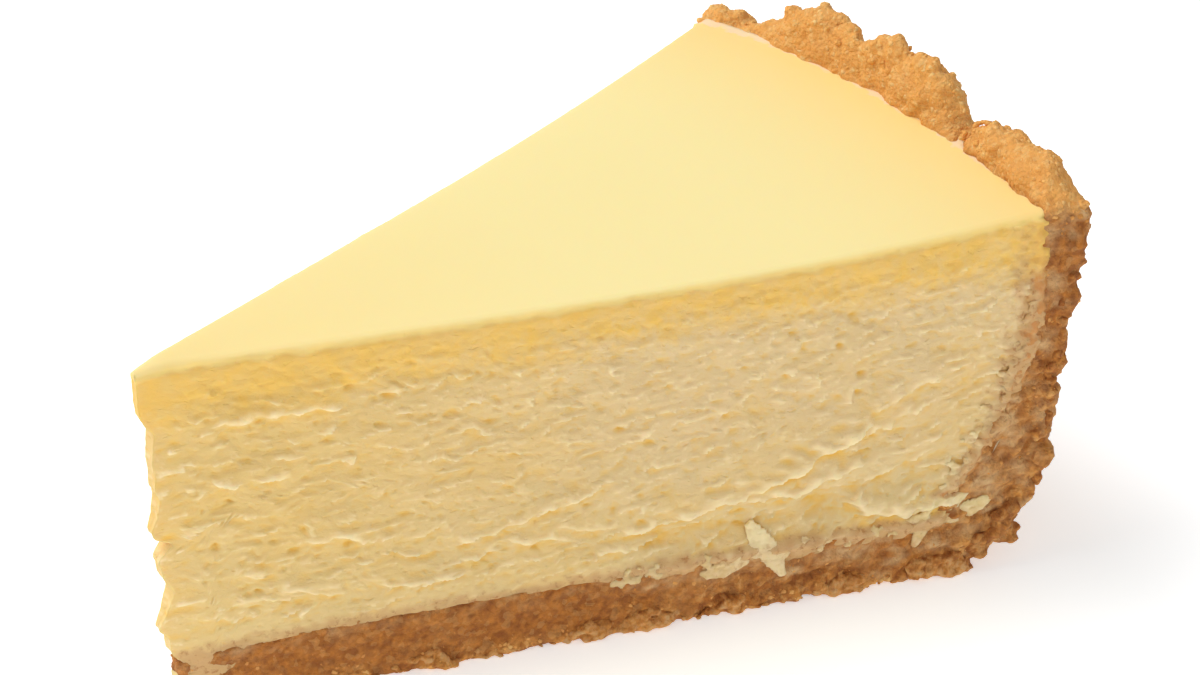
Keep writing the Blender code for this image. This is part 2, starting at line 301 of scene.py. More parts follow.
def filling_top(radius, angle):
    """Height of the smooth top, dished a little up towards the rim."""
    across = angle / HALF_ANGLE
    share = smooth_step((across - RISE_STARTS) / (1.0 - RISE_STARTS))
    rise = blend(NEAR_EDGE_RISE, FAR_EDGE_RISE, share)
    power = blend(NEAR_RISE_POWER, FAR_RISE_POWER, share)
    top = FILLING_HEIGHT + rise * (radius / FILLING_RADIUS) ** power
    tip = max(0.0, 1.0 - (radius - TIP_RADIUS) / TIP_ROUND_LENGTH)
    return top - TIP_ROUND_DROP * tip * tip


def base_top(radius):
    """Height of the crust's base, a little thinner at the tip."""
    return BASE_THICKNESS - BASE_TIP_THINNING * math.exp(-radius / BASE_TIP_LENGTH)


def inner_foot(turn):
    """Point (radius, height) on the crust's inner corner, a quarter of a flattened ellipse."""
    power = 2.0 / INNER_ROUNDNESS
    radius = FOOT_START + INNER_REACH * max(math.sin(turn), 0.0) ** power
    height = BASE_THICKNESS + INNER_HEIGHT * (1.0 - max(math.cos(turn), 0.0) ** power)
    return radius, height


def outer_foot(turn):
    """Point (radius, height) on the crust's rounded outer corner."""
    radius = FOOT_START + FOOT_REACH * math.sin(turn)
    height = FOOT_HEIGHT * (1.0 - math.cos(turn))
    return radius, height


def crust_inner_radius(height):
    """Radius of the crust's inner side at a height above the base."""
    foot_top = BASE_THICKNESS + INNER_HEIGHT
    widest = FOOT_START + INNER_REACH
    if height >= foot_top:
        share = min(1.0, (height - foot_top) / (WALL_TOP - foot_top))
        return blend(widest, RIM_MIDDLE - RIM_HALF_THICKNESS, share)
    level = 1.0 - max(0.0, height - BASE_THICKNESS) / INNER_HEIGHT
    reach = (1.0 - level ** INNER_ROUNDNESS) ** (1.0 / INNER_ROUNDNESS)
    return FOOT_START + INNER_REACH * reach


def crumb_clusters(radius, side):
    """How thickly crumbs hang along the bottom edge of a cut, from 0 to 1."""
    share = smooth_step(0.35 + 1.9 * grain(radius / 5.2 + 7.0 * side, 2.0, 6.0))
    if side < 0:
        for centre, half_width in BOTTOM_CLUSTERS:
            share = max(share, math.exp(-((radius - centre) / half_width) ** 2))
    return share


def rim_height(angle):
    """Height of the rim's crest, with the crags."""
    degrees = math.degrees(angle)
    height = RIM_HEIGHT
    for centre, half_width, rise in RIM_CRAGS:
        height += rise * math.exp(-abs((degrees - centre) / half_width) ** 3)
    return height


def crust_section(angle):
    """Pairs of outer and inner points (radius, height), from the tip to the crest."""
    pairs = []
    for column in range(BASE_COLUMNS):
        radius = blend(BASE_TIP_RADIUS, FOOT_START, column / BASE_COLUMNS)
        pairs.append(((radius, 0.0), (radius, base_top(radius))))
    wall_start = outer_foot(math.pi / 2.0)
    inner_start = inner_foot(math.pi / 2.0)
    inner_end = (RIM_MIDDLE - RIM_HALF_THICKNESS, WALL_TOP)
    for column in range(FOOT_COLUMNS + WALL_COLUMNS + 1):
        if column <= FOOT_COLUMNS:
            outer = outer_foot(math.pi / 2.0 * column / FOOT_COLUMNS)
        else:
            share = (column - FOOT_COLUMNS) / WALL_COLUMNS
            outer = (blend(wall_start[0], WALL_RADIUS, share), blend(wall_start[1], WALL_TOP, share))
        if column <= INNER_FOOT_COLUMNS:
            inner = inner_foot(math.pi / 2.0 * column / INNER_FOOT_COLUMNS)
        else:
            left = FOOT_COLUMNS + WALL_COLUMNS - INNER_FOOT_COLUMNS
            share = (column - INNER_FOOT_COLUMNS) / left
            inner = (blend(inner_start[0], inner_end[0], share), blend(inner_start[1], inner_end[1], share))
        pairs.append((outer, inner))
    crest = rim_height(angle)
    for column in range(1, RIM_COLUMNS + 1):
        turn = math.pi / 2.0 * column / (RIM_COLUMNS + 0.6)
        reach = RIM_HALF_THICKNESS * math.cos(turn)
        height = blend(WALL_TOP, crest, math.sin(turn))
        pairs.append(((RIM_MIDDLE + reach, height), (RIM_MIDDLE - reach, height)))
    return pairs


def cut_offset(step, count, half_width):
    """Distance of a lattice line from its nearer cut, in finer steps beside the cut."""
    line = min(step, count - step)
    last = len(EDGE_OFFSETS) - 1
    squeeze = min(1.0, half_width / (2.0 * EDGE_OFFSETS[last]))
    if line <= last:
        return EDGE_OFFSETS[line] * squeeze
    share = (line - last) / (count / 2.0 - last)
    return blend(EDGE_OFFSETS[last] * squeeze, half_width, share)


def slice_point(radius, offset, side, height, relief):
    """The point at a distance from the cut on the given side, pushed out by the relief."""
    turn = HALF_ANGLE - math.asin(min(1.0, offset / radius))
    angle = side * max(turn, 0.0)
    x = radius * math.cos(angle) - math.sin(HALF_ANGLE) * relief
    y = radius * math.sin(angle) + side * math.cos(HALF_ANGLE) * relief
    return (x - SLICE_MIDDLE, y, height)


def lattice_surface(cells):
    """Whole-number corners and outward quads of a block's surface."""
    columns, lines, rows = cells
    surface = np.zeros((columns + 1, lines + 1, rows + 1), dtype=bool)
    surface[[0, -1], :, :] = True
    surface[:, [0, -1], :] = True
    surface[:, :, [0, -1]] = True
    number = np.full(surface.shape, -1)
    number[surface] = np.arange(surface.sum())
    quads = []
    for low, high in ((number[0], number[-1]), (number[:, 0].T, number[:, -1].T),
                      (number[:, :, 0], number[:, :, -1])):
        for sheet, outward in ((low, False), (high, True)):
            corners = (sheet[:-1, :-1], sheet[1:, :-1], sheet[1:, 1:], sheet[:-1, 1:])
            faces = np.stack(corners, axis=-1).reshape(-1, 4)
            quads.append(faces if outward else faces[:, ::-1])
    return np.argwhere(surface), np.concatenate(quads)


def new_piece(name, mesh, material):
    """A smooth-shaded object with one material, linked to the scene."""
    mesh.name = name
    mesh.shade_smooth()
    mesh.materials.clear()
    mesh.materials.append(material)
    piece = bpy.data.objects.new(name, mesh)
    bpy.context.scene.collection.objects.link(piece)
    return piece


def store(mesh, name, values):
    """Keep one number for each vertex under a name that materials and nodes can read."""
    attribute = mesh.attributes.new(name, "FLOAT", "POINT")
    attribute.data.foreach_set("value", np.asarray(values, dtype=np.float32))


def vertex_starts(mesh):
    """Place and normal of every vertex, taken before any of them is moved."""
    return [(vertex.co.copy(), vertex.normal.copy()) for vertex in mesh.vertices]


def settle(mesh, points, shown):
    """Move the vertices to their points and keep the named numbers of each."""
    mesh.vertices.foreach_set("co", points)
    mesh.update()
    for name, values in shown.items():
        store(mesh, name, values)


# Relief of the torn cut, in millimetres

# Seeds of the two cuts, so that their tears differ
NEAR_CUT_SEED = 11.0
FAR_CUT_SEED = 47.0

# How far from the crust's wall the filling turns rough, and where it is dragged over the crust
ROUGH_REACH = 5.5
WALL_DRAG = 1.2
BASE_DRAG = 1.0

# Torn tongues and lips: start and end (radius, height), reach up from the lip, rise
NAMED_LIPS = (
    ((58.0, 14.2), (66.0, 15.4), 2.4, 0.7),
    ((65.0, 15.4), (73.6, 17.2), 2.6, 1.1),
    ((72.5, 17.0), (81.0, 19.8), 3.2, 1.3),
    ((80.0, 19.4), (88.3, 23.6), 2.8, 1.2),
    ((74.0, 16.2), (80.5, 15.9), 1.9, 0.8),
    ((79.5, 15.9), (87.6, 18.6), 2.1, 1.0),
    ((88.0, 12.2), (95.0, 10.2), 3.0, 1.0),
    ((94.5, 10.4), (100.5, 10.8), 2.6, 0.9),
    ((90.0, 26.2), (97.0, 29.5), 1.8, 0.6),
    ((41.6, 17.9), (47.4, 20.2), 1.3, 0.6),
    ((47.0, 19.6), (53.4, 21.4), 1.3, 0.7),
    ((44.0, 16.2), (49.6, 15.4), 1.1, 0.6),
    ((49.6, 16.6), (56.2, 15.9), 1.2, 0.6),
    ((54.8, 12.8), (58.6, 12.2), 1.1, 0.6),
    ((10.6, 38.1), (17.0, 38.3), 1.4, 0.6),
    ((16.4, 38.4), (23.2, 38.0), 1.6, 0.7),
    ((10.0, 30.7), (16.8, 30.0), 1.1, 0.8),
    ((28.0, 13.4), (36.0, 13.0), 1.2, 0.6),
    ((16.0, 15.0), (22.0, 13.6), 1.6, 0.7),
    ((20.0, 21.0), (27.0, 20.0), 1.2, 0.5),
)
LIP_UNDERCUT = 0.32
LIP_SOFTNESS = 0.22

# Recesses: start and end (radius, height), half height, depth
HOLLOWS = (
    ((62.5, 12.4), (82.0, 13.2), 2.6, 1.1),
    ((84.0, 14.2), (94.0, 16.0), 2.2, 0.9),
    ((86.0, 20.0), (95.0, 22.5), 1.6, 0.5),
    ((97.0, 14.0), (102.0, 26.0), 2.2, 0.5),
)

# Notches of the tip's edge: height, half height, and how far the edge steps back
TIP_NOTCHES = (
    (38.5, 1.6, 0.4), (29.8, 1.2, 0.4), (25.6, 1.3, -0.8), (23.3, 0.8, 1.3), (21.5, 0.7, -0.4),
    (16.6, 1.7, 0.9), (12.7, 1.2, -1.2), (6.2, 1.6, 1.3), (3.4, 1.0, 0.6),
)


def lip_profile(above, reach):
    """A lip seen from the side: full just above its edge, fading up, cut away below."""
    if above >= 0.0:
        return math.exp(-above / reach)
    return math.exp(-(above / LIP_UNDERCUT) ** 2)


def line_place(radius, height, start, end):
    """Distance above a stretch from start to end, and how far past its ends a place is."""
    along_x = end[0] - start[0]
    along_z = end[1] - start[1]
    length = math.hypot(along_x, along_z)
    from_start = ((radius - start[0]) * along_x + (height - start[1]) * along_z) / length
    above = ((height - start[1]) * along_x - (radius - start[0]) * along_z) / length
    past = max(-from_start, from_start - length, 0.0)
    return above, past


def named_relief(radius, height, seed):
    """The tongues and lips that the near cut shows at known places."""
    waver = 0.9 * grain(radius / 3.1, height / 5.0, seed)
    waver += 0.5 * grain(radius / 1.1, height / 2.0, seed + 3.0)
    uneven = 0.8 + 0.7 * grain(radius / 2.3, height / 1.2, seed + 6.0)
    relief = 0.0
    for start, end, reach, rise in NAMED_LIPS:
        if radius < start[0] - 3.0 or radius > end[0] + 3.0:
            continue
        above, past = line_place(radius, height + waver, start, end)
        if above > 3.5 * reach or above < -1.5:
            continue
        full = rise * lip_profile(above, reach) * math.exp(-(past / 1.0) ** 2)
        relief = max(relief, full * uneven)
    for start, end, reach, depth in HOLLOWS:
        above, past = line_place(radius, height, start, end)
        relief -= depth * math.exp(-(above / reach) ** 2 - (past / 3.0) ** 2)
    return relief


def scattered_lips(radius, height, seed, pitch, cover):
    """Short drooping lips, one above another, that climb a little towards the rim."""
    waver = 0.75 * pitch * grain(radius / (2.1 * pitch), height / (1.2 * pitch), seed + 7.3)
    waver += 0.32 * pitch * grain(radius / (0.8 * pitch), height / (0.5 * pitch), seed + 2.9)
    phase = (height - 0.0014 * radius * radius + waver) / pitch
    above = (phase - math.floor(phase)) * pitch
    profile = math.exp(-above / (0.36 * pitch))
    closing = smooth_step((pitch - above) / 0.3)
    patch = smooth_step(2.6 * grain(radius / (1.5 * pitch), height / (0.9 * pitch), seed + 3.1) + cover)
    return (profile - 0.3) * closing * patch


def pores(radius, height, seed, width, share):
    """Small oval pits, some deeper than others, between 0 and 1."""
    bend = 0.35 * grain(radius / 1.6, height / 1.2, seed + 8.8)
    place = Vector((radius / width + bend, height / (0.5 * width) + bend, seed))
    distances, points = noise.voronoi(place)
    chance = grain(points[0].x * 7.7, points[0].y * 7.7, seed + 0.5) + share
    if chance < 0.04:
        return 0.0
    return min(1.0, 3.0 * chance) * smooth_step(1.0 - distances[0] / 0.48)


def fringe(past, along, across, seed):
    """Relief where the filling is dragged over the crust, thinning to ragged tongues."""
    tongues = grain(along / 1.9, across / 0.8, seed + 13.0)
    tongues += 0.55 * grain(along / 0.85, across / 0.38, seed + 17.0)
    tongues += 1.1 * grain(along / 5.5, seed + 15.0, 3.0)
    return 0.30 - 0.50 * past + 0.62 * tongues


def fringe_share(radius, height, side):
    """How far the filling has picked up crumb, from 0 to 1, and to 2 where crumb covers it."""
    uneven = grain(radius / 1.3, height / 1.0, side * 4.0)
    past_wall = radius - crust_inner_radius(height * MM) / MM
    past_base = base_top(radius * MM) / MM - height
    share = smooth_step((past_base + 1.8 + 1.2 * uneven) / 1.9)
    if height > 12.0:
        wide = blend(3.2, 4.8, smooth_step((height - 18.0) / 14.0))
        share = max(share, smooth_step((past_wall + wide + 2.2 * uneven) / 3.6))
        reach = blend(0.2, 1.4, smooth_step((height - 16.0) / 16.0))
        share += smooth_step((past_wall + reach + 1.6 * uneven) / 1.1)
    return share


def torn_relief(radius, height, top, side, settings):
    """How far the torn cut stands out at a place."""
    seed = NEAR_CUT_SEED if side < 0 else FAR_CUT_SEED
    band = smooth_step((top - height) / (BAND_DEPTH / MM))
    low_smooth = smooth_step((height - BASE_THICKNESS / MM - 0.6) / 2.4)
    rim_side = smooth_step((radius - 88.0) / 14.0)
    swell = 0.42 * grain(radius / 9.0, height / 6.0, seed)
    swell += 0.26 * grain(radius / 3.6, height / 2.6, seed + 1.7)
    lips = scattered_lips(radius, height, seed, settings.lip_pitch, 0.35)
    lips += 0.55 * scattered_lips(radius, height, seed + 21.0, 0.5 * settings.lip_pitch, 0.45)
    pits = pores(radius, height, seed, 2.4, 0.03) + 0.7 * pores(radius, height, seed + 5.0, 1.25, 0.10)
    fine = grain(radius / 1.0, height / 0.7, seed + 5.1)
    fine += 0.7 * grain(radius / 0.5, height / 0.42, seed + 9.9)
    near_base = smooth_step((20.0 - height) / 9.0)
    torn_side = smooth_step((radius - 55.0) / 12.0)
    low_smooth = max(low_smooth, torn_side)
    strength = blend(0.16, 1.0, band) * blend(0.25, 1.0, low_smooth)
    relief = swell * blend(0.3, 1.0, band) * blend(0.4, 1.0, low_smooth)
    relief += settings.lip_depth * lips * strength * (1.0 + 0.45 * near_base + 0.3 * rim_side)
    relief -= settings.pit_depth * pits * strength * (1.0 - 0.4 * rim_side)
    relief += settings.grain_depth * fine * blend(0.75, 1.0, band) * blend(0.6, 1.0, low_smooth)
    if side < 0:
        named = named_relief(radius, height, seed) * band
        relief = blend(relief, 0.45 * relief, smooth_step(named / 0.5)) + 1.25 * named
    past_wall = radius - crust_inner_radius(height * MM) / MM
    past_base = base_top(radius * MM) / MM - height
    if past_wall > -ROUGH_REACH and height > 9.0:
        rough = 0.30 * grain(radius / 0.95, height / 0.62, seed + 19.0)
        rough += 0.24 * grain(radius / 0.55, height / 0.42, seed + 23.0)
        relief += smooth_step((past_wall + ROUGH_REACH) / 3.5) * blend(0.5, 1.0, band) * rough
    if past_wall > -WALL_DRAG and height > 12.0:
        share = smooth_step((past_wall + WALL_DRAG) / 1.4)
        relief = blend(relief, fringe(past_wall, radius, height, seed), share)
    elif past_base > -BASE_DRAG and radius > 50.0:
        share = smooth_step((past_base + BASE_DRAG) / 1.2) * torn_side
        relief = blend(relief, fringe(past_base - 0.8, radius, height, seed), share)
    return relief


def tip_start(height):
    """Radius of the ragged tip edge at a height, in millimetres."""
    start = 1.6 + 1.0 * smooth_step((42.0 - height) / 5.0)
    for level, half_height, back in TIP_NOTCHES:
        start += back * math.exp(-((height - level) / half_height) ** 2)
    start += 0.22 * grain(1.5, 0.0, height / 1.5) + 0.12 * grain(3.5, 0.0, height / 0.6)
    return max(start, 0.55)


def filling_underside(radius, side):
    """Height of the filling's lower edge, smeared down over the base at the tip."""
    seed = 5.0 if side < 0 else 9.0
    reach = 12.5 + 2.0 * grain(seed, radius / 2.0, 0.5)
    smear = 5.9 * smooth_step((reach - radius) / 6.0)
    torn = 2.0 * smooth_step((radius - 52.0) / 10.0)
    ragged = 0.2 + 0.25 * grain(radius / 4.0, seed, 4.0) + 0.15 * grain(radius / 1.1, seed, 8.0)
    return base_top(radius * MM) / MM - smear - max(ragged, 0.05) - torn


def blurred(values, reach):
    """A grid of values, each averaged with its neighbours."""
    for axis in (0, 1):
        padded = np.pad(values, [(reach, reach) if a == axis else (0, 0) for a in (0, 1)], mode="edge")
        total = 0.0
        for step in range(2 * reach + 1):
            total = total + np.take(padded, range(step, step + values.shape[axis]), axis=axis)
        values = total / (2 * reach + 1)
    return values


def face_grid(side, settings):
    """Radius, height, top and relief of the lattice on one cut, and how deep each place lies."""
    columns, _, rows = FILLING_CELLS
    places = np.zeros((columns + 1, rows + 1, 4))
    for along in range(columns + 1):
        for up in range(rows + 1):
            level = up / rows
            height = blend(BASE_THICKNESS, FILLING_HEIGHT, level)
            back = min(crust_inner_radius(height) + 2.2 * MM, FILLING_RADIUS + 1.9 * MM)
            start = tip_start(blend(1.0, FILLING_HEIGHT / MM, level)) * MM
            radius = blend(start, back, along / columns)
            top = filling_top(radius, side * HALF_ANGLE)
            height = blend(filling_underside(radius / MM, side) * MM, top, level)
            relief = torn_relief(radius / MM, height / MM, top / MM, side, settings)
            places[along, up] = (radius, height, top, relief)
    places[:, :, 3] = blend(places[:, :, 3], blurred(places[:, :, 3], 1), LIP_SOFTNESS)
    # The cavity, the relief less its blur, is used later to paint shade into the hollows and a highlight
    # onto the raised lips
    cavity = places[:, :, 3] - blurred(places[:, :, 3], 4)
    return places, cavity


def filling_mesh(settings):
    """The filling: a wedge lattice with torn cuts, rounded top edges and a ragged tip."""
    _, lines, rows = FILLING_CELLS
    corners, quads = lattice_surface(FILLING_CELLS)
    grids = {-1.0: face_grid(-1.0, settings), 1.0: face_grid(1.0, settings)}
    points = []
    skin = []
    detail = []
    fringe_shares = []
    for along, across, up in corners.tolist():
        side = -1.0 if across < lines / 2 else 1.0
        places, cavity = grids[side]
        radius, height, edge_top, relief = places[along, up].tolist()
        half_width = radius * math.sin(HALF_ANGLE)
        offset = cut_offset(across, lines, half_width)
        angle = side * (HALF_ANGLE - math.asin(min(1.0, offset / radius)))
        bulge = math.exp(-((radius - 0.028) / 0.036) ** 2) * smooth_step((angle / HALF_ANGLE + 1.0) / 1.6)
        top = filling_top(radius, angle) + FAR_BULGE * bulge
        height += (top - edge_top) * up / rows
        edge_round = TOP_EDGE_ROUND if side < 0.0 else FAR_EDGE_ROUND
        rounding = min(edge_round, 0.8 * half_width)
        inwards = max(0.0, 1.0 - offset / rounding)
        upwards = max(0.0, 1.0 - (top - height) / rounding)
        if inwards > 0.0 and upwards > 0.0:
            length = math.hypot(inwards, upwards)
            offset = rounding * (1.0 - inwards / length)
            height = top - rounding * (1.0 - upwards / length)
        on_cut = across in (0, lines)
        push = 0.0
        deep = 0.0
        if on_cut:
            push = relief * MM * smooth_step(half_width / (1.2 * EDGE_OFFSETS[-1]))
            deep = cavity[along, up]
            height -= 0.12 * max(deep, 0.0) * MM
        elif along == 0:
            deep = cavity[along, up]
        points.append(slice_point(radius, offset, side, height, push))
        fade = 1.05 + 0.5 * grain(radius / (2.4 * MM), side * 3.0, 1.0)
        skin.append(smooth_step(1.0 - (top - height) / (fade * MM)))
        # The cavity, kept for the painted shade in the hollows and the painted highlight on the lips
        detail.append(deep)
        fringe_shares.append(fringe_share(radius / MM, height / MM, side) if on_cut else 0.0)
    mesh = bpy.data.meshes.new("filling_body")
    mesh.from_pydata(points, [], quads.tolist())
    store(mesh, "skin", skin)
    store(mesh, "fringe", fringe_shares)
    store(mesh, "detail", detail)
    return mesh


# The crumb crust


def crust_core_mesh():
    """The crust without its crumbs, with how lumpy each place is kept for the scatter."""
    columns = BASE_COLUMNS + FOOT_COLUMNS + WALL_COLUMNS + RIM_COLUMNS
    corners, quads = lattice_surface((columns, CRUST_ACROSS, CRUST_LAYERS))
    sections = []
    for across in range(CRUST_ACROSS + 1):
        share = 2.0 * across / CRUST_ACROSS - 1.0
        sections.append(crust_section(share * HALF_ANGLE))
    points = []
    lump = []
    coverage = []
    for along, across, through in corners.tolist():
        side = -1.0 if across < CRUST_ACROSS / 2 else 1.0
        outer, inner = sections[across][along]
        share = through / CRUST_LAYERS
        radius = blend(outer[0], inner[0], share)
        height = blend(outer[1], inner[1], share)
        sideways = (2.0 * across / CRUST_ACROSS - 1.0) * HALF_ANGLE * radius
        rough = grain(radius / 0.0036, sideways / 0.0036, height / 0.0036)
        rough += 0.6 * grain(radius / 0.0016, sideways / 0.0016, height / 0.0016)
        on_rim = along > BASE_COLUMNS + FOOT_COLUMNS + WALL_COLUMNS
        on_foot = along > BASE_COLUMNS
        on_cut = across in (0, CRUST_ACROSS)
        if on_rim:
            radius = max(radius + 0.0010 * rough, FILLING_RADIUS + 0.0004)
            height += 0.0010 * rough
        elif on_foot and through == 0:
            radius += 0.0006 * rough
        if through == 0 and (on_cut or along == 0):
            height += FOOT_LIFT * max(0.0, 0.9 * rough)
        offset = cut_offset(across, CRUST_ACROSS, radius * math.sin(HALF_ANGLE))
        relief = 0.00035 * rough if on_cut else 0.0
        points.append(slice_point(radius, offset, side, height, relief))
        low_edge = through == 0 and not on_foot
        cluster = crumb_clusters(radius / MM, side)
        if on_rim:
            lump.append(1.0)
            coverage.append(1.0)
        elif through == 0 and on_foot:
            lump.append(0.9)
            coverage.append(0.8)
        elif on_cut or along == 0:
            lump.append(blend(0.55, 1.1, cluster) if low_edge else 0.36)
            coverage.append(blend(0.4, 1.5, cluster) if low_edge else 0.7)
        else:
            lump.append(0.0)
            coverage.append(0.0)
    mesh = bpy.data.meshes.new("crust core")
    mesh.from_pydata(points, [], quads.tolist())
    store(mesh, "lump", lump)
    store(mesh, "coverage", coverage)
    return mesh


# Geometry nodes and materials


def add_node(tree, kind, inputs=None, **settings):
    """Add a node, set it up, and fill its inputs with values or links."""
    made = tree.nodes.new(kind)
    for name, value in settings.items():
        setattr(made, name, value)
    for place, value in (inputs or {}).items():
        if isinstance(value, bpy.types.NodeSocket):
            tree.links.new(value, made.inputs[place])
        else:
            made.inputs[place].default_value = value
    return made


def math_node(tree, operation, first, second=0.0):
    """Add a math node and give its result."""
    kind = "ShaderNodeMath"
    return add_node(tree, kind, {0: first, 1: second}, operation=operation).outputs[0]


def scaled(tree, value, factor, extra=0.0):
    """A value times a factor, with a number added where one is given."""
    made = math_node(tree, "MULTIPLY", value, factor)
    return math_node(tree, "ADD", made, extra) if extra else made


def named_number(tree, name):
    """Read a number that a mesh keeps under a name."""
    found = add_node(tree, "GeometryNodeInputNamedAttribute", {"Name": name}, data_type="FLOAT")
    return found.outputs["Attribute"]


def random_number(tree, low, high, seed):
    """An even random number for each place."""
    made = add_node(tree, "FunctionNodeRandomValue", {2: low, 3: high, "Seed": seed}, data_type="FLOAT")
    return made.outputs[1]


def scaled_vector(tree, vector, factor):
    """A vector made longer or shorter."""
    return add_node(tree, "ShaderNodeVectorMath", {0: vector, "Scale": factor}, operation="SCALE").outputs[0]


def keep_for_each(tree, geometry, name, value):
    """Keep a number for each grain under a name."""
    return add_node(tree, "GeometryNodeStoreNamedAttribute", {
        "Geometry": geometry, "Name": name, "Value": value}, data_type="FLOAT", domain="INSTANCE").outputs[0]


def scatter_tree():
    """Grains scattered over a surface, sunk into it and made uneven one by one."""
    tree = bpy.data.node_groups.new("scattered grains", "GeometryNodeTree")
    face = tree.interface
    face.new_socket("Geometry", in_out="INPUT", socket_type="NodeSocketGeometry")
    for name, value in (("Density", 1000.0), ("Least Size", 0.0005), ("Largest Size", 0.001),
                        ("Sink", 0.5), ("Flatness", 1.0), ("Unevenness", 0.4)):
        socket = face.new_socket(name, in_out="INPUT", socket_type="NodeSocketFloat")
        socket.default_value = value
    for name, value in (("Facets", 2), ("Seed", 1)):
        socket = face.new_socket(name, in_out="INPUT", socket_type="NodeSocketInt")
        socket.default_value = value
    face.new_socket("Keep Surface", in_out="INPUT", socket_type="NodeSocketBool")
    face.new_socket("Material", in_out="INPUT", socket_type="NodeSocketMaterial")
    face.new_socket("Geometry", in_out="OUTPUT", socket_type="NodeSocketGeometry")
    given = tree.nodes.new("NodeGroupInput").outputs
    lump = named_number(tree, "lump")
    shown = add_node(tree, "FunctionNodeCompare", {0: lump, 1: 0.02}, operation="GREATER_THAN")
    density = math_node(tree, "MULTIPLY", named_number(tree, "coverage"), given["Density"])
    spread = add_node(tree, "GeometryNodeDistributePointsOnFaces", {
        "Mesh": given["Geometry"], "Selection": shown.outputs[0],
        "Density": density, "Seed": given["Seed"]})
    size = random_number(tree, given["Least Size"], given["Largest Size"], given["Seed"])
    scale = math_node(tree, "MULTIPLY", size, lump)
    depth = math_node(tree, "MULTIPLY", scale, given["Sink"])
    push = scaled_vector(tree, spread.outputs["Normal"], scaled(tree, depth, -1.0))
    sunk = add_node(tree, "GeometryNodeSetPosition", {
        "Geometry": spread.outputs["Points"], "Offset": push})
    ball = add_node(tree, "GeometryNodeMeshIcoSphere", {
        "Radius": 1.0, "Subdivisions": given["Facets"]})
    spin = add_node(tree, "FunctionNodeRandomValue", {
        0: (0.0, 0.0, 0.0), 1: (0.0, 0.0, math.tau), "Seed": given["Seed"]},
        data_type="FLOAT_VECTOR")
    turned = add_node(tree, "FunctionNodeRotateRotation", {
        "Rotation": spread.outputs["Rotation"], "Rotate By": spin.outputs[0]},
        rotation_space="LOCAL")
    stretch = random_number(tree, 0.65, 1.35, given["Seed"])
    wide = math_node(tree, "MULTIPLY", scale, stretch)
    tall = math_node(tree, "MULTIPLY", scale, given["Flatness"])
    shape = add_node(tree, "ShaderNodeCombineXYZ", {"X": wide, "Y": scale, "Z": tall})
    placed = add_node(tree, "GeometryNodeInstanceOnPoints", {
        "Points": sunk.outputs[0], "Instance": ball.outputs["Mesh"],
        "Rotation": turned.outputs[0], "Scale": shape.outputs[0]})
    tone = random_number(tree, 0.0, 1.0, given["Seed"])
    toned = keep_for_each(tree, placed.outputs[0], "tone", tone)
    grown = keep_for_each(tree, toned, "girth", scale)
    whole = add_node(tree, "GeometryNodeRealizeInstances", {"Geometry": grown})
    girth = named_number(tree, "girth")
    finer = math_node(tree, "DIVIDE", 1.1, girth)
    clouds = add_node(tree, "ShaderNodeTexNoise", {"Scale": finer, "Detail": 1.0})
    centred = add_node(tree, "ShaderNodeVectorMath", {
        0: clouds.outputs["Color"], 1: (0.5, 0.5, 0.5)}, operation="SUBTRACT")
    rough = math_node(tree, "MULTIPLY", girth, given["Unevenness"])
    shift = scaled_vector(tree, centred.outputs[0], rough)
    uneven = add_node(tree, "GeometryNodeSetPosition", {
        "Geometry": whole.outputs[0], "Offset": shift})
    kept = add_node(tree, "GeometryNodeSwitch", {
        "Switch": given["Keep Surface"], "True": given["Geometry"]}, input_type="GEOMETRY")
    joined = tree.nodes.new("GeometryNodeJoinGeometry")
    tree.links.new(uneven.outputs[0], joined.inputs[0])
    tree.links.new(kept.outputs[0], joined.inputs[0])
    finished = add_node(tree, "GeometryNodeSetMaterial", {
        "Geometry": joined.outputs[0], "Material": given["Material"]})
    out = tree.nodes.new("NodeGroupOutput")
    tree.links.new(finished.outputs[0], out.inputs[0])
    return tree


def scatter_on(carrier, tree, values):
    """Put the scatter on a carrier object, its inputs set by their identifiers."""
    scatter = carrier.modifiers.new("scattered grains", "NODES")
    scatter.node_group = tree
    for item in tree.interface.items_tree:
        if item.in_out == "INPUT" and item.name in values:
            scatter[item.identifier] = values[item.name]


def finished_mesh(carrier):
    """The carrier's evaluated mesh, with the carrier then removed."""
    bpy.context.view_layer.update()
    graph = bpy.context.evaluated_depsgraph_get()
    mesh = bpy.data.meshes.new_from_object(carrier.evaluated_get(graph))
    carrier.modifiers.clear()
    bpy.data.objects.remove(carrier, do_unlink=True)
    return mesh


def pressed_mesh(carrier, voxel, rounds=0):
    """The carrier's grains joined by voxels, and rounded off in a number of passes."""
    remesh = carrier.modifiers.new("pressed together", "REMESH")
    remesh.mode = "VOXEL"
    remesh.voxel_size = voxel
    if rounds:
        rounding = carrier.modifiers.new("rounded", "SMOOTH")
        rounding.iterations = rounds
    return finished_mesh(carrier)


def carrier_object(name, mesh):
    """A throwaway object that holds a mesh while modifiers work on it."""
    carrier = bpy.data.objects.new(name, mesh)
    bpy.context.scene.collection.objects.link(carrier)
    return carrier


def effect_group(name, values):
    """A shader node group with a vector, named numbers in, and one number out."""
    tree = bpy.data.node_groups.new(name, "ShaderNodeTree")
    tree.interface.new_socket("Vector", in_out="INPUT", socket_type="NodeSocketVector")
    for label, value in values:
        socket = tree.interface.new_socket(label, in_out="INPUT", socket_type="NodeSocketFloat")
        socket.default_value = value
    tree.interface.new_socket("Value", in_out="OUTPUT", socket_type="NodeSocketFloat")
    given = tree.nodes.new("NodeGroupInput").outputs
    return tree, given


def close_group(tree, result):
    """Send a value to the group's output."""
    out = tree.nodes.new("NodeGroupOutput")
    tree.links.new(result, out.inputs["Value"])


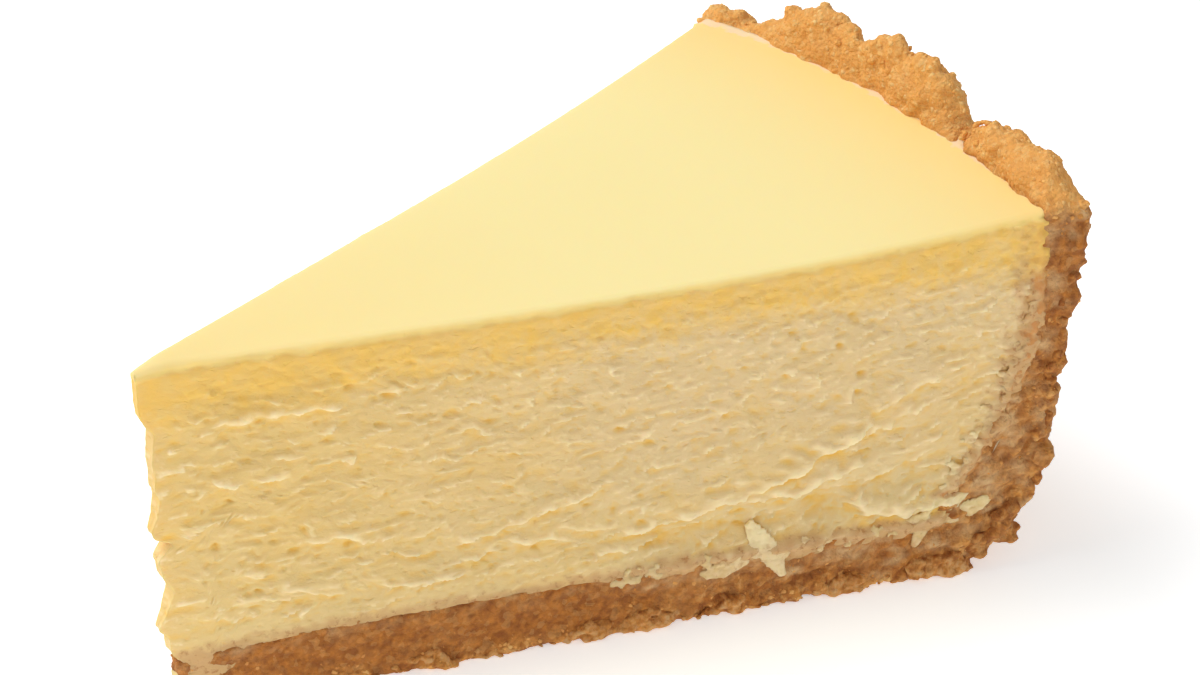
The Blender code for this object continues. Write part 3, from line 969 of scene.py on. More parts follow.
def mottle_group():
    """Soft blotches between 0 and 1, for uneven baking."""
    tree, given = effect_group("soft mottle", (("Scale", 100.0), ("Contrast", 1.0)))
    clouds = add_node(tree, "ShaderNodeTexNoise", {
        "Vector": given["Vector"], "Scale": given["Scale"], "Detail": 4.0, "Roughness": 0.6})
    centred = math_node(tree, "SUBTRACT", clouds.outputs[0], 0.5)
    spread = math_node(tree, "MULTIPLY", centred, given["Contrast"])
    moved = math_node(tree, "ADD", spread, 0.5)
    held = add_node(tree, "ShaderNodeClamp", {0: moved})
    close_group(tree, held.outputs[0])
    return tree


def crumb_grain_group():
    """Height of fine crumbly grain: small rounded cells broken up by noise."""
    tree, given = effect_group("crumb grain", (("Scale", 1500.0), ("Break Up", 0.5)))
    cells = add_node(tree, "ShaderNodeTexVoronoi", {
        "Vector": given["Vector"], "Scale": given["Scale"]})
    domes = math_node(tree, "SUBTRACT", 1.0, cells.outputs["Distance"])
    finer = scaled(tree, given["Scale"], 1.7)
    clouds = add_node(tree, "ShaderNodeTexNoise", {
        "Vector": given["Vector"], "Scale": finer, "Detail": 3.0, "Roughness": 0.65})
    share = math_node(tree, "MULTIPLY", clouds.outputs[0], given["Break Up"])
    close_group(tree, math_node(tree, "ADD", domes, share))
    return tree


def use_group(tree, group, vector, values):
    """Place a shared effect in a material, and give its value."""
    placed = add_node(tree, "ShaderNodeGroup", {"Vector": vector, **values}, node_tree=group)
    return placed.outputs["Value"]


def mix_colours(tree, share, first, second):
    """Blend two colours by a share."""
    mix = add_node(tree, "ShaderNodeMix", {0: share, 6: first, 7: second}, data_type="RGBA")
    return mix.outputs[2]


def layered(tree, ground, layers):
    """A ground colour with others laid over it, each by its own share."""
    for share, colour in layers:
        ground = mix_colours(tree, share, ground, colour)
    return ground


def span(tree, value, low, high, most=1.0):
    """Map a value so that low gives 0 and high gives the most, held between them."""
    mapped = add_node(tree, "ShaderNodeMapRange", {
        "Value": value, "From Min": low, "From Max": high, "To Max": most}, clamp=True)
    return mapped.outputs[0]


def attribute(tree, name):
    """Read a number kept on the piece's vertices."""
    return add_node(tree, "ShaderNodeAttribute", attribute_name=name).outputs["Fac"]


def new_material(name):
    """A material with its shader ready, its tree and the piece's own coordinates."""
    material = bpy.data.materials.new(name)
    material.use_nodes = True
    tree = material.node_tree
    shader = tree.nodes["Principled BSDF"]
    place = tree.nodes.new("ShaderNodeTexCoord").outputs["Object"]
    return material, tree, shader, place


def soften(shader, weight, radius, scale):
    """Let light travel under the surface."""
    shader.inputs["Subsurface Weight"].default_value = weight
    shader.inputs["Subsurface Radius"].default_value = radius
    shader.inputs["Subsurface Scale"].default_value = scale


def paint(tree, shader, colour, roughness):
    """Give the shader its colour and its roughness."""
    tree.links.new(colour, shader.inputs["Base Color"])
    tree.links.new(roughness, shader.inputs["Roughness"])


def bump(tree, shader, height, strength, distance):
    """Fine relief from a height."""
    relief = add_node(tree, "ShaderNodeBump", {
        "Height": height, "Strength": strength, "Distance": distance})
    tree.links.new(relief.outputs["Normal"], shader.inputs["Normal"])


def axis_radius(tree, place):
    """Distance of a place from the axis of the whole cake."""
    from_axis = add_node(tree, "ShaderNodeVectorMath", {
        0: place, 1: (SLICE_MIDDLE, 0.0, 0.0)}, operation="ADD")
    level_place = add_node(tree, "ShaderNodeVectorMath", {
        0: from_axis.outputs[0], 1: (1.0, 1.0, 0.0)}, operation="MULTIPLY")
    radius = add_node(tree, "ShaderNodeVectorMath", {0: level_place.outputs[0]}, operation="LENGTH")
    return radius.outputs["Value"]


def filling_material(settings, groups):
    """Baked cream cheese: smooth yellow top, golden band, cream torn cut with deep pores, painted shade in
    its hollows and painted highlights on its lips and top edge.
    """
    material, tree, shader, place = new_material("baked filling")
    split = add_node(tree, "ShaderNodeSeparateXYZ", {0: place})
    radius = axis_radius(tree, place)
    blotch = use_group(tree, groups["mottle"], place, {"Scale": 95.0, "Contrast": 2.0})
    fleck = use_group(tree, groups["mottle"], place, {"Scale": 480.0, "Contrast": 2.4})
    patchy = use_group(tree, groups["mottle"], place, {"Scale": 700.0, "Contrast": 3.2})
    speck = use_group(tree, groups["mottle"], place, {"Scale": 1250.0, "Contrast": 3.0})
    torn = use_group(tree, groups["torn"], place, {"Scale": 720.0, "Flatten": 2.0})
    detail = attribute(tree, "detail")
    picked = attribute(tree, "fringe")
    skin = attribute(tree, "skin")

    # The smooth top, with a pale dried line along the crust
    by_rim = math_node(tree, "POWER", span(tree, radius, 0.078, 0.108), 2.0)
    edge_radius = math_node(tree, "ADD", radius, scaled(tree, fleck, 0.0014))
    dried = math_node(tree, "MULTIPLY", span(tree, edge_radius, 0.1102, 0.1106),
                      span(tree, split.outputs["Y"], -0.034, -0.018))
    top = layered(tree, settings.top_colour, (
        (by_rim, settings.rim_side_colour),
        (span(tree, radius, 0.055, 0.010, 0.5), settings.rim_side_colour),
        (dried, settings.dried_colour)))

    # The torn cut, up to the crumb that covers it by the wall, with painted shade in its hollows and a
    # painted highlight on its raised lips
    # Painted shade: the hollows of the relief and the low spots of the fine tear take the deeper golden
    # colour
    deep = math_node(tree, "MAXIMUM", span(tree, detail, -0.03, -0.42), span(tree, torn, 0.48, 0.22, 0.5))
    fringe = span(tree, picked, 0.0, 1.0, 0.85)
    specks = math_node(tree, "MULTIPLY", span(tree, speck, 0.62, 0.95), fringe)
    cover = mix_colours(tree, span(tree, patchy, 0.5, 1.1), settings.covered_colour, settings.fringe_colour)
    cut = layered(tree, settings.cut_colour, (
        (span(tree, radius, 0.062, 0.018, 0.55), settings.tip_colour),
        (span(tree, split.outputs["Z"], 0.027, 0.010, 0.7), settings.low_colour),
        (span(tree, blotch, 0.45, 0.95, 0.28), settings.band_colour),
        (deep, settings.pit_shade_colour),
        # Painted highlight on the raised lips
        (span(tree, detail, 0.05, 0.40), settings.lip_highlight_colour),
        (fringe, settings.fringe_colour),
        (specks, settings.speck_colour),
        (span(tree, picked, 1.05, 1.8, 0.9), cover)))

    # The golden band under the top, which climbs a little towards the rim, and a painted highlight along the
    # top's rounded edge
    climb = scaled(tree, split.outputs["X"], 0.028)
    level = math_node(tree, "SUBTRACT", split.outputs["Z"], climb)
    level = math_node(tree, "ADD", level, scaled(tree, fleck, 0.0032))
    spots = math_node(tree, "ADD", span(tree, fleck, 0.25, 0.85, 0.40), 0.6)
    band = math_node(tree, "MULTIPLY", span(tree, level, 0.0405, 0.0450), spots)
    half_way = math_node(tree, "ABSOLUTE", math_node(tree, "SUBTRACT", skin, 0.5))
    colour = layered(tree, cut, (
        (band, settings.band_colour),
        (skin, top),
        # Painted highlight along the rounded top edge
        (span(tree, half_way, 0.5, 0.1, 0.75), settings.edge_highlight_colour)))
    paint(tree, shader, colour, scaled(tree, skin, -0.14, 0.62))
    soften(shader, 0.26, (1.0, 0.62, 0.22), 0.0013)
    shader.inputs["Specular IOR Level"].default_value = 0.35
    bare = math_node(tree, "SUBTRACT", 1.0, skin)
    bump(tree, shader, math_node(tree, "MULTIPLY", torn, bare), 0.5, 0.00040)
    return material


def crust_material(settings, groups):
    """Pressed biscuit crumbs: mottled brown on the cut, golden on the baked rim."""
    material, tree, shader, place = new_material("pressed crumbs")
    cells = add_node(tree, "ShaderNodeTexVoronoi", {"Vector": place, "Scale": 1300.0})
    pick = add_node(tree, "ShaderNodeSeparateColor", {0: cells.outputs["Color"]})
    fleck = use_group(tree, groups["mottle"], place, {"Scale": 900.0, "Contrast": 3.0})
    blotch = use_group(tree, groups["mottle"], place, {"Scale": 170.0, "Contrast": 2.4})
    toast = attribute(tree, "toast")
    # Dark share: random mottle and the shade number, with its painted shade where the rim meets the filling
    dark = math_node(tree, "ADD", fleck, attribute(tree, "shade"))
    dark = math_node(tree, "MULTIPLY", dark, scaled(tree, toast, -0.52, 0.68))
    pale = math_node(tree, "MULTIPLY", span(tree, pick.outputs[0], 0.60, 1.0),
                     scaled(tree, toast, 0.30, 0.16))
    colour = layered(tree, settings.cut_colour, (
        (toast, settings.rim_colour),
        (dark, settings.dark_colour),
        (span(tree, blotch, 0.5, 1.0, 0.30), settings.light_colour),
        (pale, settings.pale_colour),
        (attribute(tree, "smear"), settings.smear_colour)))
    paint(tree, shader, colour, scaled(tree, fleck, -0.18, 0.88))
    soften(shader, 0.12, (1.0, 0.5, 0.2), 0.0009)
    shader.inputs["Specular IOR Level"].default_value = 0.3
    height = use_group(tree, groups["grain"], place, {"Scale": 1500.0, "Break Up": 1.4})
    bump(tree, shader, height, 0.9, 0.00040)
    return material


def crumb_material(settings, groups):
    """Loose crumbs: pale gold to brown, one tone each."""
    material, tree, shader, place = new_material("small crumbs")
    tone = attribute(tree, "tone")
    toast = attribute(tree, "toast")
    fleck = use_group(tree, groups["mottle"], place, {"Scale": 1500.0, "Contrast": 2.0})
    golden = math_node(tree, "ADD", scaled(tree, tone, 0.6), toast)
    pale = math_node(tree, "MULTIPLY", span(tree, tone, 0.6, 1.0), span(tree, toast, -0.3, 1.0))
    # Dark share: random mottle and the crust's shade number, its painted shade by the filling included
    dark = math_node(tree, "ADD", scaled(tree, fleck, 0.15),
                     scaled(tree, attribute(tree, "shade"), 0.22))
    colour = layered(tree, settings.cut_colour, (
        (span(tree, golden, 0.1, 1.0), settings.rim_colour),
        (pale, settings.pale_colour),
        (dark, settings.dark_colour)))
    paint(tree, shader, colour, scaled(tree, fleck, -0.15, 0.85))
    soften(shader, 0.12, (1.0, 0.5, 0.2), 0.0008)
    height = use_group(tree, groups["grain"], place, {"Scale": 3600.0, "Break Up": 0.8})
    bump(tree, shader, height, 0.6, 0.00015)
    return material


def floor_material():
    """A plain pale floor."""
    material, _, shader, _ = new_material("pale floor")
    for name, value in (("Base Color", (0.95, 0.95, 0.95, 1.0)),
                        ("Emission Color", (0.93, 0.98, 1.0, 1.0)),
                        ("Emission Strength", 0.42), ("Roughness", 0.9), ("Specular IOR Level", 0.1)):
        shader.inputs[name].default_value = value
    return material


def torn_group():
    """Height of fine torn cream: clouds flattened along the layers, with small oval pits."""
    tree, given = effect_group("torn cream", (("Scale", 600.0), ("Flatten", 2.0)))
    flat = add_node(tree, "ShaderNodeCombineXYZ", {"X": 1.0, "Y": 1.0, "Z": given["Flatten"]})
    squashed = add_node(tree, "ShaderNodeVectorMath", {
        0: given["Vector"], 1: flat.outputs[0]}, operation="MULTIPLY")
    bend = add_node(tree, "ShaderNodeTexNoise", {
        "Vector": squashed.outputs[0], "Scale": scaled(tree, given["Scale"], 0.7), "Detail": 2.0})
    centred = add_node(tree, "ShaderNodeVectorMath", {
        0: bend.outputs["Color"], 1: (0.5, 0.5, 0.5)}, operation="SUBTRACT")
    reach = math_node(tree, "DIVIDE", 2.0, given["Scale"])
    moved = scaled_vector(tree, centred.outputs[0], reach)
    bent = add_node(tree, "ShaderNodeVectorMath", {0: squashed.outputs[0], 1: moved}, operation="ADD")
    cells = add_node(tree, "ShaderNodeTexVoronoi", {
        "Vector": bent.outputs[0], "Scale": given["Scale"]})
    chance = add_node(tree, "ShaderNodeSeparateColor", {0: cells.outputs["Color"]})
    open_size = math_node(tree, "ADD", span(tree, chance.outputs[0], 0.45, 1.0, 0.55), 0.02)
    share = math_node(tree, "DIVIDE", cells.outputs["Distance"], open_size)
    clouds = add_node(tree, "ShaderNodeTexNoise", {
        "Vector": bent.outputs[0], "Scale": scaled(tree, given["Scale"], 1.6), "Detail": 3.0,
        "Roughness": 0.6})
    cloud_part = scaled(tree, clouds.outputs[0], 0.6)
    close_group(tree, math_node(tree, "ADD", cloud_part, span(tree, share, 0.35, 1.0, 0.4)))
    return tree


def shared_groups():
    """The shared effects, built once."""
    found = {}
    for key, name, maker in (("mottle", "soft mottle", mottle_group),
                             ("grain", "crumb grain", crumb_grain_group),
                             ("torn", "torn cream", torn_group)):
        found[key] = bpy.data.node_groups.get(name) or maker()
    return found


def cut_place(co):
    """Radius, height, distance behind the nearer cut, and side, of a point on the slice."""
    x = co[0] + SLICE_MIDDLE
    radius = math.hypot(x, co[1])
    side = -1.0 if co[1] < 0.0 else 1.0
    behind = math.sin(HALF_ANGLE) * x - math.cos(HALF_ANGLE) * abs(co[1])
    return radius, co[2], behind, side


# Films of filling on the near cut's crust: radius, height, half length, half height, in millimetres
NAMED_SMEARS = (
    (70.6, 6.6, 3.6, 1.0), (86.4, 5.9, 3.6, 1.1), (104.6, 13.5, 1.8, 3.2), (107.2, 20.5, 1.6, 3.4),
    (79.6, 4.6, 1.6, 0.8), (62.0, 6.4, 3.0, 0.8), (98.5, 5.0, 1.8, 0.9),
)


def named_smear(radius, height):
    """How much film the near cut's crust shows at known places, from 0 to 1."""
    found = 0.0
    for centre, level, half_length, half_height in NAMED_SMEARS:
        distance = ((radius - centre) / half_length) ** 2 + ((height - level) / half_height) ** 2
        found = max(found, math.exp(-distance))
    return found


def above_wall(height):
    """How far a height has come up from the wall into the rim, from 0 to 1."""
    return smooth_step((height - 0.0478) / 0.0030)


def by_corner(radius):
    """How far a radius has come out to the crust's outer corner, from 0 to 1."""
    return smooth_step((radius - 0.094) / 0.008)


def finish_crust(mesh):
    """Roughen the pressed crumbs, keep them off the floor, and store how each place looks."""
    shown = {"toast": [], "smear": [], "shade": [], "lump": [], "coverage": []}
    finished = []
    for start, normal in vertex_starts(mesh):
        place = start / MM
        radius, height, behind, side = cut_place(start)
        coarse = grain(place.x / 2.6, place.y / 2.6, place.z / 2.0)
        middle = grain(place.x / 1.2, place.y / 1.2, place.z / 1.0)
        small = grain(place.x / 0.55, place.y / 0.55, place.z / 0.55)
        torn_side = smooth_step((radius - 0.045) / 0.03)
        rough = blend(0.22, 0.42, torn_side) * coarse + blend(0.16, 0.26, torn_side) * middle
        broken = smooth_step((radius - 0.089) / 0.010) * smooth_step((0.036 - height) / 0.012)
        broken = max(broken, 0.6 * torn_side * smooth_step((0.0065 - height) / 0.003))
        near_cut = smooth_step(1.0 - behind / 0.0022)
        rough *= 1.0 + 1.5 * broken * near_cut
        moved = start + normal * ((rough + 0.08 * small) * MM)
        moved.z = max(moved.z, 0.00006 * (1.0 + small))
        radius, height, behind, side = cut_place(moved)
        inner = crust_inner_radius(height)
        from_filling = min(abs(radius - inner), abs(height - base_top(radius)))
        on_cut = smooth_step(1.0 - behind / 0.0011)
        outer = smooth_step((radius - inner) / 0.0035)
        above = above_wall(height)
        cluster = crumb_clusters(radius / MM, side)
        low = smooth_step(1.0 - height / 0.0034)
        baked = max(above, outer * (1.0 - on_cut) * 0.75)
        golden = max(0.85 * low * cluster * smooth_step(0.7 + middle + small),
                     0.6 * broken * on_cut * smooth_step(0.35 + 1.1 * middle + 0.9 * small))
        shown["toast"].append(max(baked, golden))
        streak = 0.22 + 1.7 * grain(radius / 0.0030, height / 0.0014, side * 5.0)
        streak += 0.5 * grain(radius / 0.0011, height / 0.0007, side * 7.0)
        near_filling = math.exp(-(from_filling / blend(0.0015, 0.0028, torn_side)) ** 2)
        film = on_cut * near_filling * streak * (1.0 - above) * blend(0.5, 1.0, torn_side)
        foot = smooth_step((radius - 0.097) / 0.006) * smooth_step((0.030 - height) / 0.008)
        rim_end = smooth_step((height - 0.0440) / 0.003) * (1.0 if side < 0.0 else 0.4)
        patch = 0.2 + 1.7 * grain(radius / 0.0013, height / 0.0012, side * 9.0)
        film = max(film, on_cut * max(0.42 * foot * (0.1 + streak), 0.7 * rim_end * patch))
        if side < 0.0:
            flaky = 0.85 + 1.7 * grain(radius / 0.0014, height / 0.0008, 21.0) + 0.5 * small
            film = max(film, on_cut * named_smear(radius / MM, height / MM) * flaky)
        shown["smear"].append(held(film))
        # Painted shade: a dark line on the rim just above where it meets the filling
        at_rim = math.exp(-((radius - 0.1099) / 0.0009) ** 2) * smooth_step((height - 0.046) / 0.003)
        # Darker on the cut towards the outer corner
        corner = on_cut * by_corner(radius) * (1.0 - above)
        # The shade number: random dark mottle, darker towards the outer corner, and the painted shade by the
        # filling
        shade = 0.42 + 0.22 * corner - 0.7 * middle - 0.35 * coarse - 0.9 * small + 0.8 * at_rim
        shown["shade"].append(held(shade))
        under = smooth_step(1.0 - height / 0.0007)
        hidden = (1.0 - on_cut) * (1.0 - outer) * (1.0 - above)
        shown["lump"].append(max(0.0, 1.0 - hidden) * (1.0 - 0.95 * under * (1.0 - on_cut)))
        wall = outer * (1.0 - on_cut) * (1.0 - above)
        cut_share = 0.02 + 0.9 * low * cluster + 0.05 * torn_side
        open_share = blend(blend(1.0, 0.28, wall), 0.7, above)
        shown["coverage"].append(blend(open_share, cut_share, on_cut * (1.0 - above)))
        finished.extend(moved)
    settle(mesh, finished, shown)


def keep_off_floor(mesh):
    """Lift the few places that reach below the floor."""
    for vertex in mesh.vertices:
        vertex.co.z = max(vertex.co.z, LEAST_LIFT)
    mesh.update()


# Torn flakes of filling

# Drags of filling over the near cut of the crust: path (radius, height, out), then widths
NAMED_DRAGS = (
    (((73.6, 12.6, -0.75), (74.9, 10.4, -0.2), (76.2, 8.2, 0.25), (77.4, 6.1, 0.4), (78.3, 4.5, 0.3)),
     (1.4, 3.2, 3.3, 2.2, 1.0)),
    (((99.2, 7.9, -0.8), (101.2, 8.6, -0.15), (103.2, 9.5, 0.15), (105.0, 10.3, 0.2), (106.4, 10.8, 0.0)),
     (1.4, 2.8, 2.9, 2.1, 0.9)),
    (((97.3, 9.0, -0.3), (96.4, 6.9, 0.2), (95.6, 5.2, 0.25)), (3.0, 2.2, 0.9)),
    (((67.2, 6.4, -0.1), (70.2, 6.5, 0.15), (73.0, 7.4, 0.05)), (1.4, 2.2, 1.4)),
)


def cut_point(radius, height, out, side):
    """A point given in millimetres along a cut, up it, and out from it."""
    x = radius * math.cos(HALF_ANGLE) - out * math.sin(HALF_ANGLE)
    y = side * (radius * math.sin(HALF_ANGLE) + out * math.cos(HALF_ANGLE))
    return (x * MM - SLICE_MIDDLE, y * MM, height * MM)


def add_ribbon(points, faces, path, widths, thickness, side, seed, raggedness=0.28):
    """A ragged strip of filling along a path over the cut, closed at both ends."""
    first = len(points)
    ring = 8
    steps = 3 * (len(path) - 1)
    for step in range(steps + 1):
        place = step / 3.0
        index = min(int(place), len(path) - 2)
        share = place - index
        start, end = path[index], path[index + 1]
        centre = [blend(start[axis], end[axis], share) for axis in range(3)]
        length = math.hypot(end[0] - start[0], end[1] - start[1])
        across = (-(end[1] - start[1]) / length, (end[0] - start[0]) / length)
        width = blend(widths[index], widths[index + 1], share)
        for spoke in range(ring):
            turn = math.tau * spoke / ring
            ragged = 1.0 + raggedness * grain(centre[0] * 1.5 + seed, centre[1] * 1.5, spoke * 0.9)
            reach = 0.5 * width * math.cos(turn) * ragged
            lift = 0.5 * thickness * math.sin(turn) * ragged
            radius = centre[0] + across[0] * reach
            height = centre[1] + across[1] * reach
            points.append(cut_point(radius, max(height, 0.05), centre[2] + lift, side))
    for step in range(steps):
        for spoke in range(ring):
            a = first + step * ring + spoke
            b = first + step * ring + (spoke + 1) % ring
            face = (a, b, b + ring, a + ring)
            faces.append(face[::-1] if side < 0 else face)
    for step, outward in ((0, False), (steps, True)):
        cap = [first + step * ring + spoke for spoke in range(ring)]
        faces.append(tuple(cap if outward == (side > 0) else cap[::-1]))


def flake_path(start, heading, length, out):
    """A short path over the cut, from a start buried in the filling along a heading."""
    path = []
    for share, lift in ((0.0, 0.0), (0.5, 0.8), (1.0, 1.0)):
        path.append((start[0] + length * share * math.cos(heading),
                     start[1] + length * share * math.sin(heading), out * lift))
    return path


def add_flake(points, faces, path, width, side, pick):
    """A flake along a path, widest in its middle."""
    add_ribbon(points, faces, path, (0.8 * width, 1.2 * width, 0.7 * width),
               pick.uniform(0.28, 0.5), side, pick.uniform(0.0, 90.0))


def flakes_mesh(settings):
    """Blunt flakes along the wall and the base, and the dragged strips, torn together."""
    pick = random.Random(settings.flake_seed)
    points = []
    faces = []
    for side in (-1.0, 1.0):
        for _ in range(settings.wall_flakes):
            height = pick.uniform(11.0, 38.0)
            inside = abs(pick.gauss(0.0, 1.3))
            radius = crust_inner_radius(height * MM) / MM + 0.2 - inside
            width = pick.uniform(0.5, 1.1)
            path = flake_path((radius - 0.5, height), math.radians(pick.uniform(-40.0, 25.0)),
                              pick.uniform(0.8, 2.0), pick.uniform(-0.15, 0.2))
            add_flake(points, faces, path, width, side, pick)
        for _ in range(settings.base_flakes):
            radius = pick.uniform(56.0, 105.0)
            height = max(crust_floor(radius), 8.0) + pick.uniform(-0.8, 0.8)
            width = pick.uniform(0.5, 1.4)
            path = flake_path((radius, height), math.radians(pick.uniform(-130.0, -10.0)),
                              pick.uniform(0.4, 1.5), pick.uniform(0.05, 0.42))
            add_flake(points, faces, path, width, side, pick)
    for path, widths in NAMED_DRAGS:
        add_ribbon(points, faces, path, widths, 0.6, -1.0, path[0][0], 0.16)
    mesh = bpy.data.meshes.new("flakes before they are torn together")
    mesh.from_pydata(points, [], faces)
    return mesh


def tear_flakes(mesh):
    """Roughen the joined flakes and keep how pale and how crumby each place looks."""
    shown = {"skin": [], "detail": [], "fringe": []}
    finished = []
    for start, normal in vertex_starts(mesh):
        place = start / MM
        rough = grain(place.x / 0.9, place.y / 0.9, place.z / 0.6)
        small = grain(place.x / 0.4, place.y / 0.4, place.z / 0.34)
        finished.extend(start + normal * ((0.15 * rough + 0.06 * small) * MM))
        tongue = math.exp(-((place.x + SLICE_MIDDLE / MM - 72.5) / 5.0) ** 2)
        shown["skin"].append(0.0)
        shown["detail"].append(0.12 + 0.34 * tongue + 0.3 * rough + 0.2 * small)
        radius, height, behind, side = cut_place(start)
        raised = smooth_step((-behind / MM - 0.35) / 0.5)
        share = fringe_share(radius / MM, height / MM, side)
        base_side = smooth_step((height - 0.0105) / 0.004)
        kept = blend(0.2, 0.75, smooth_step((radius - 0.092) / 0.008))
        share = min(share, 1.25) * blend(blend(1.0, kept, raised), 1.0 - 0.45 * raised, base_side)
        shown["fringe"].append(share * blend(0.45, 1.0, base_side))
    settle(mesh, finished, shown)


def crust_floor(radius):
    """Height of the crust's inner side at a radius, in millimetres, up the rounded corner."""
    past = max(0.0, radius - FOOT_START / MM) / (INNER_REACH / MM)
    climb = 1.0 - (1.0 - min(past, 1.0) ** INNER_ROUNDNESS) ** (1.0 / INNER_ROUNDNESS)
    return base_top(radius * MM) / MM + climb * INNER_HEIGHT / MM


# Clumps of crumbs

# Clumps on the near cut's foot: radius, height and half width in millimetres
FOOT_CLUMPS = ((108.2, 5.3, 1.5), (108.6, 7.8, 1.0), (104.8, 3.6, 1.4), (100.6, 2.2, 1.5), (97.0, 1.3, 1.1))

# Clumps where the far cut meets the rim: radius, height and half width in millimetres
FAR_RIM_CLUMPS = (
    (113.6, 48.4, 1.6), (112.6, 46.4, 1.5), (114.6, 45.0, 1.3), (111.4, 49.4, 1.2), (113.2, 50.6, 1.3),
)


def outer_radius(height):
    """Radius of the crust's outer side at a height, in millimetres."""
    foot = FOOT_HEIGHT / MM
    if height < foot:
        turn = math.acos(1.0 - height / foot)
        return (FOOT_START + FOOT_REACH * math.sin(turn)) / MM
    share = min(1.0, (height - foot) / (WALL_TOP / MM - foot))
    return blend(FOOT_START + FOOT_REACH, WALL_RADIUS, share) / MM


def clump_granules(settings):
    """Places and sizes in millimetres of the granules that make up the clumps."""
    pick = random.Random(settings.seed)
    found = []
    clumps = [(radius, 0.9, half_width, 0.7) for radius, half_width in BOTTOM_CLUSTERS]
    clumps += [(radius, height, half_width, 1.1) for radius, height, half_width in FOOT_CLUMPS]
    for radius, height, half_width, largest in clumps:
        for _ in range(int(settings.clump_share * half_width)):
            place = (radius + pick.gauss(0.0, 0.55 * half_width), abs(height + pick.gauss(0.0, 0.8)))
            size = pick.uniform(0.45, 0.3 + largest)
            found.append((cut_point(*place, pick.uniform(-0.9, 0.5), -1.0), size))
    for radius, height, half_width in FAR_RIM_CLUMPS:
        for _ in range(int(settings.clump_share * half_width)):
            place = (radius + pick.gauss(0.0, 0.5 * half_width), height + pick.gauss(0.0, 0.9))
            found.append((cut_point(*place, pick.uniform(-0.9, 1.3), 1.0), pick.uniform(0.35, 0.85)))
    for side in (-1.0, 1.0):
        for _ in range(settings.edge_granules):
            height = abs(pick.gauss(0.0, 0.8))
            place = cut_point(pick.uniform(14.0, 96.0), height, pick.uniform(-0.7, 0.25), side)
            found.append((place, pick.uniform(0.25, 0.65)))
        for _ in range(settings.edge_granules):
            height = pick.uniform(0.8, 50.0)
            inset = 1.1 - 0.9 * smooth_step(0.5 + 1.6 * grain(height / 5.0, side * 3.0, 2.0))
            radius = outer_radius(height) - pick.uniform(0.0, 1.1) * inset - 0.5 * inset
            radius -= 0.45 * smooth_step((height - 16.0) / 8.0)
            place = cut_point(radius, height, pick.uniform(-1.3, 0.15), side)
            found.append((place, pick.uniform(0.4, 0.9)))
    for _ in range(2 * settings.edge_granules):
        angle = pick.uniform(-1.0, 1.0) * HALF_ANGLE
        across = pick.uniform(-0.95, 0.95)
        crest = rim_height(angle) - WALL_TOP
        height = WALL_TOP + crest * math.sqrt(1.0 - across * across) - 0.2 * MM
        radius = RIM_MIDDLE + across * RIM_HALF_THICKNESS
        place = (radius * math.cos(angle) - SLICE_MIDDLE, radius * math.sin(angle), height)
        found.append((place, pick.uniform(0.28, 0.7)))
    return found


def clumps_mesh(settings):
    """Uneven granules at the clumps' places, each a few faces."""
    ball = bmesh.new()
    bmesh.ops.create_icosphere(ball, subdivisions=1, radius=1.0)
    corners = [corner.co.copy() for corner in ball.verts]
    ball_faces = [[corner.index for corner in face.verts] for face in ball.faces]
    ball.free()
    pick = random.Random(settings.seed + 1)
    points = []
    faces = []
    for place, size in clump_granules(settings):
        first = len(points)
        stretch = Vector((pick.uniform(0.7, 1.3), pick.uniform(0.7, 1.3), pick.uniform(0.6, 1.0)))
        for corner in corners:
            reach = size * MM * pick.uniform(0.9, 1.12)
            moved = Vector(place) + corner * stretch * reach
            points.append((moved.x, moved.y, max(moved.z, 0.00004)))
        faces.extend([first + index for index in face] for face in ball_faces)
    mesh = bpy.data.meshes.new("granules before they are pressed together")
    mesh.from_pydata(points, [], faces)
    return mesh


def finish_clumps(mesh):
    """Roughen the clumps and keep how golden, dark and creamy each place looks."""
    shown = {"toast": [], "shade": [], "smear": []}
    finished = []
    for start, normal in vertex_starts(mesh):
        place = start / MM
        rough = grain(place.x / 0.8, place.y / 0.8, place.z / 0.7)
        small = grain(place.x / 0.36, place.y / 0.36, place.z / 0.36)
        finished.extend(start + normal * ((0.14 * rough + 0.08 * small) * MM))
        radius, height, behind, side = cut_place(start)
        out = smooth_step(0.5 - behind / (1.2 * MM))
        above = above_wall(height)
        low = out * smooth_step(1.0 - height / 0.006) * (1.0 if side < 0.0 else 0.6)
        shown["toast"].append(max(above, 0.10 + 0.5 * low + 0.3 * rough))
        corner = by_corner(radius) * (1.0 - above)
        shade = 0.36 - 1.1 * rough - 1.0 * small - 0.2 * low - 0.25 * above + 0.28 * corner
        shown["shade"].append(held(shade))
        shown["smear"].append(held(low * (0.08 + 1.1 * rough + 0.8 * small), 0.9))
    settle(mesh, finished, shown)
    keep_off_floor(mesh)


class CHEESECAKE_OT_filling(bpy.types.Operator):
    """Make the torn filling with its smooth top"""

    bl_idname = "cheesecake.filling"
    bl_label = "Make Filling"

    def execute(self, context):
        settings = context.scene.cheesecake_filling
        material = filling_material(settings, shared_groups())
        piece = new_piece("filling_body", filling_mesh(settings), material)
        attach(piece, "root")
        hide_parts("filling")
        return {"FINISHED"}


class CHEESECAKE_OT_flakes(bpy.types.Operator):
    """Lay torn flakes of filling along the crust"""

    bl_idname = "cheesecake.flakes"
    bl_label = "Lay Flakes"

    def execute(self, context):
        settings = context.scene.cheesecake_filling
        material = bpy.data.materials["baked filling"]
        carrier = carrier_object("flake carrier", flakes_mesh(settings))
        mesh = pressed_mesh(carrier, settings.flake_voxel, 2)
        tear_flakes(mesh)
        piece = new_piece("filling_flakes", mesh, material)
        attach(piece, "root")
        return {"FINISHED"}


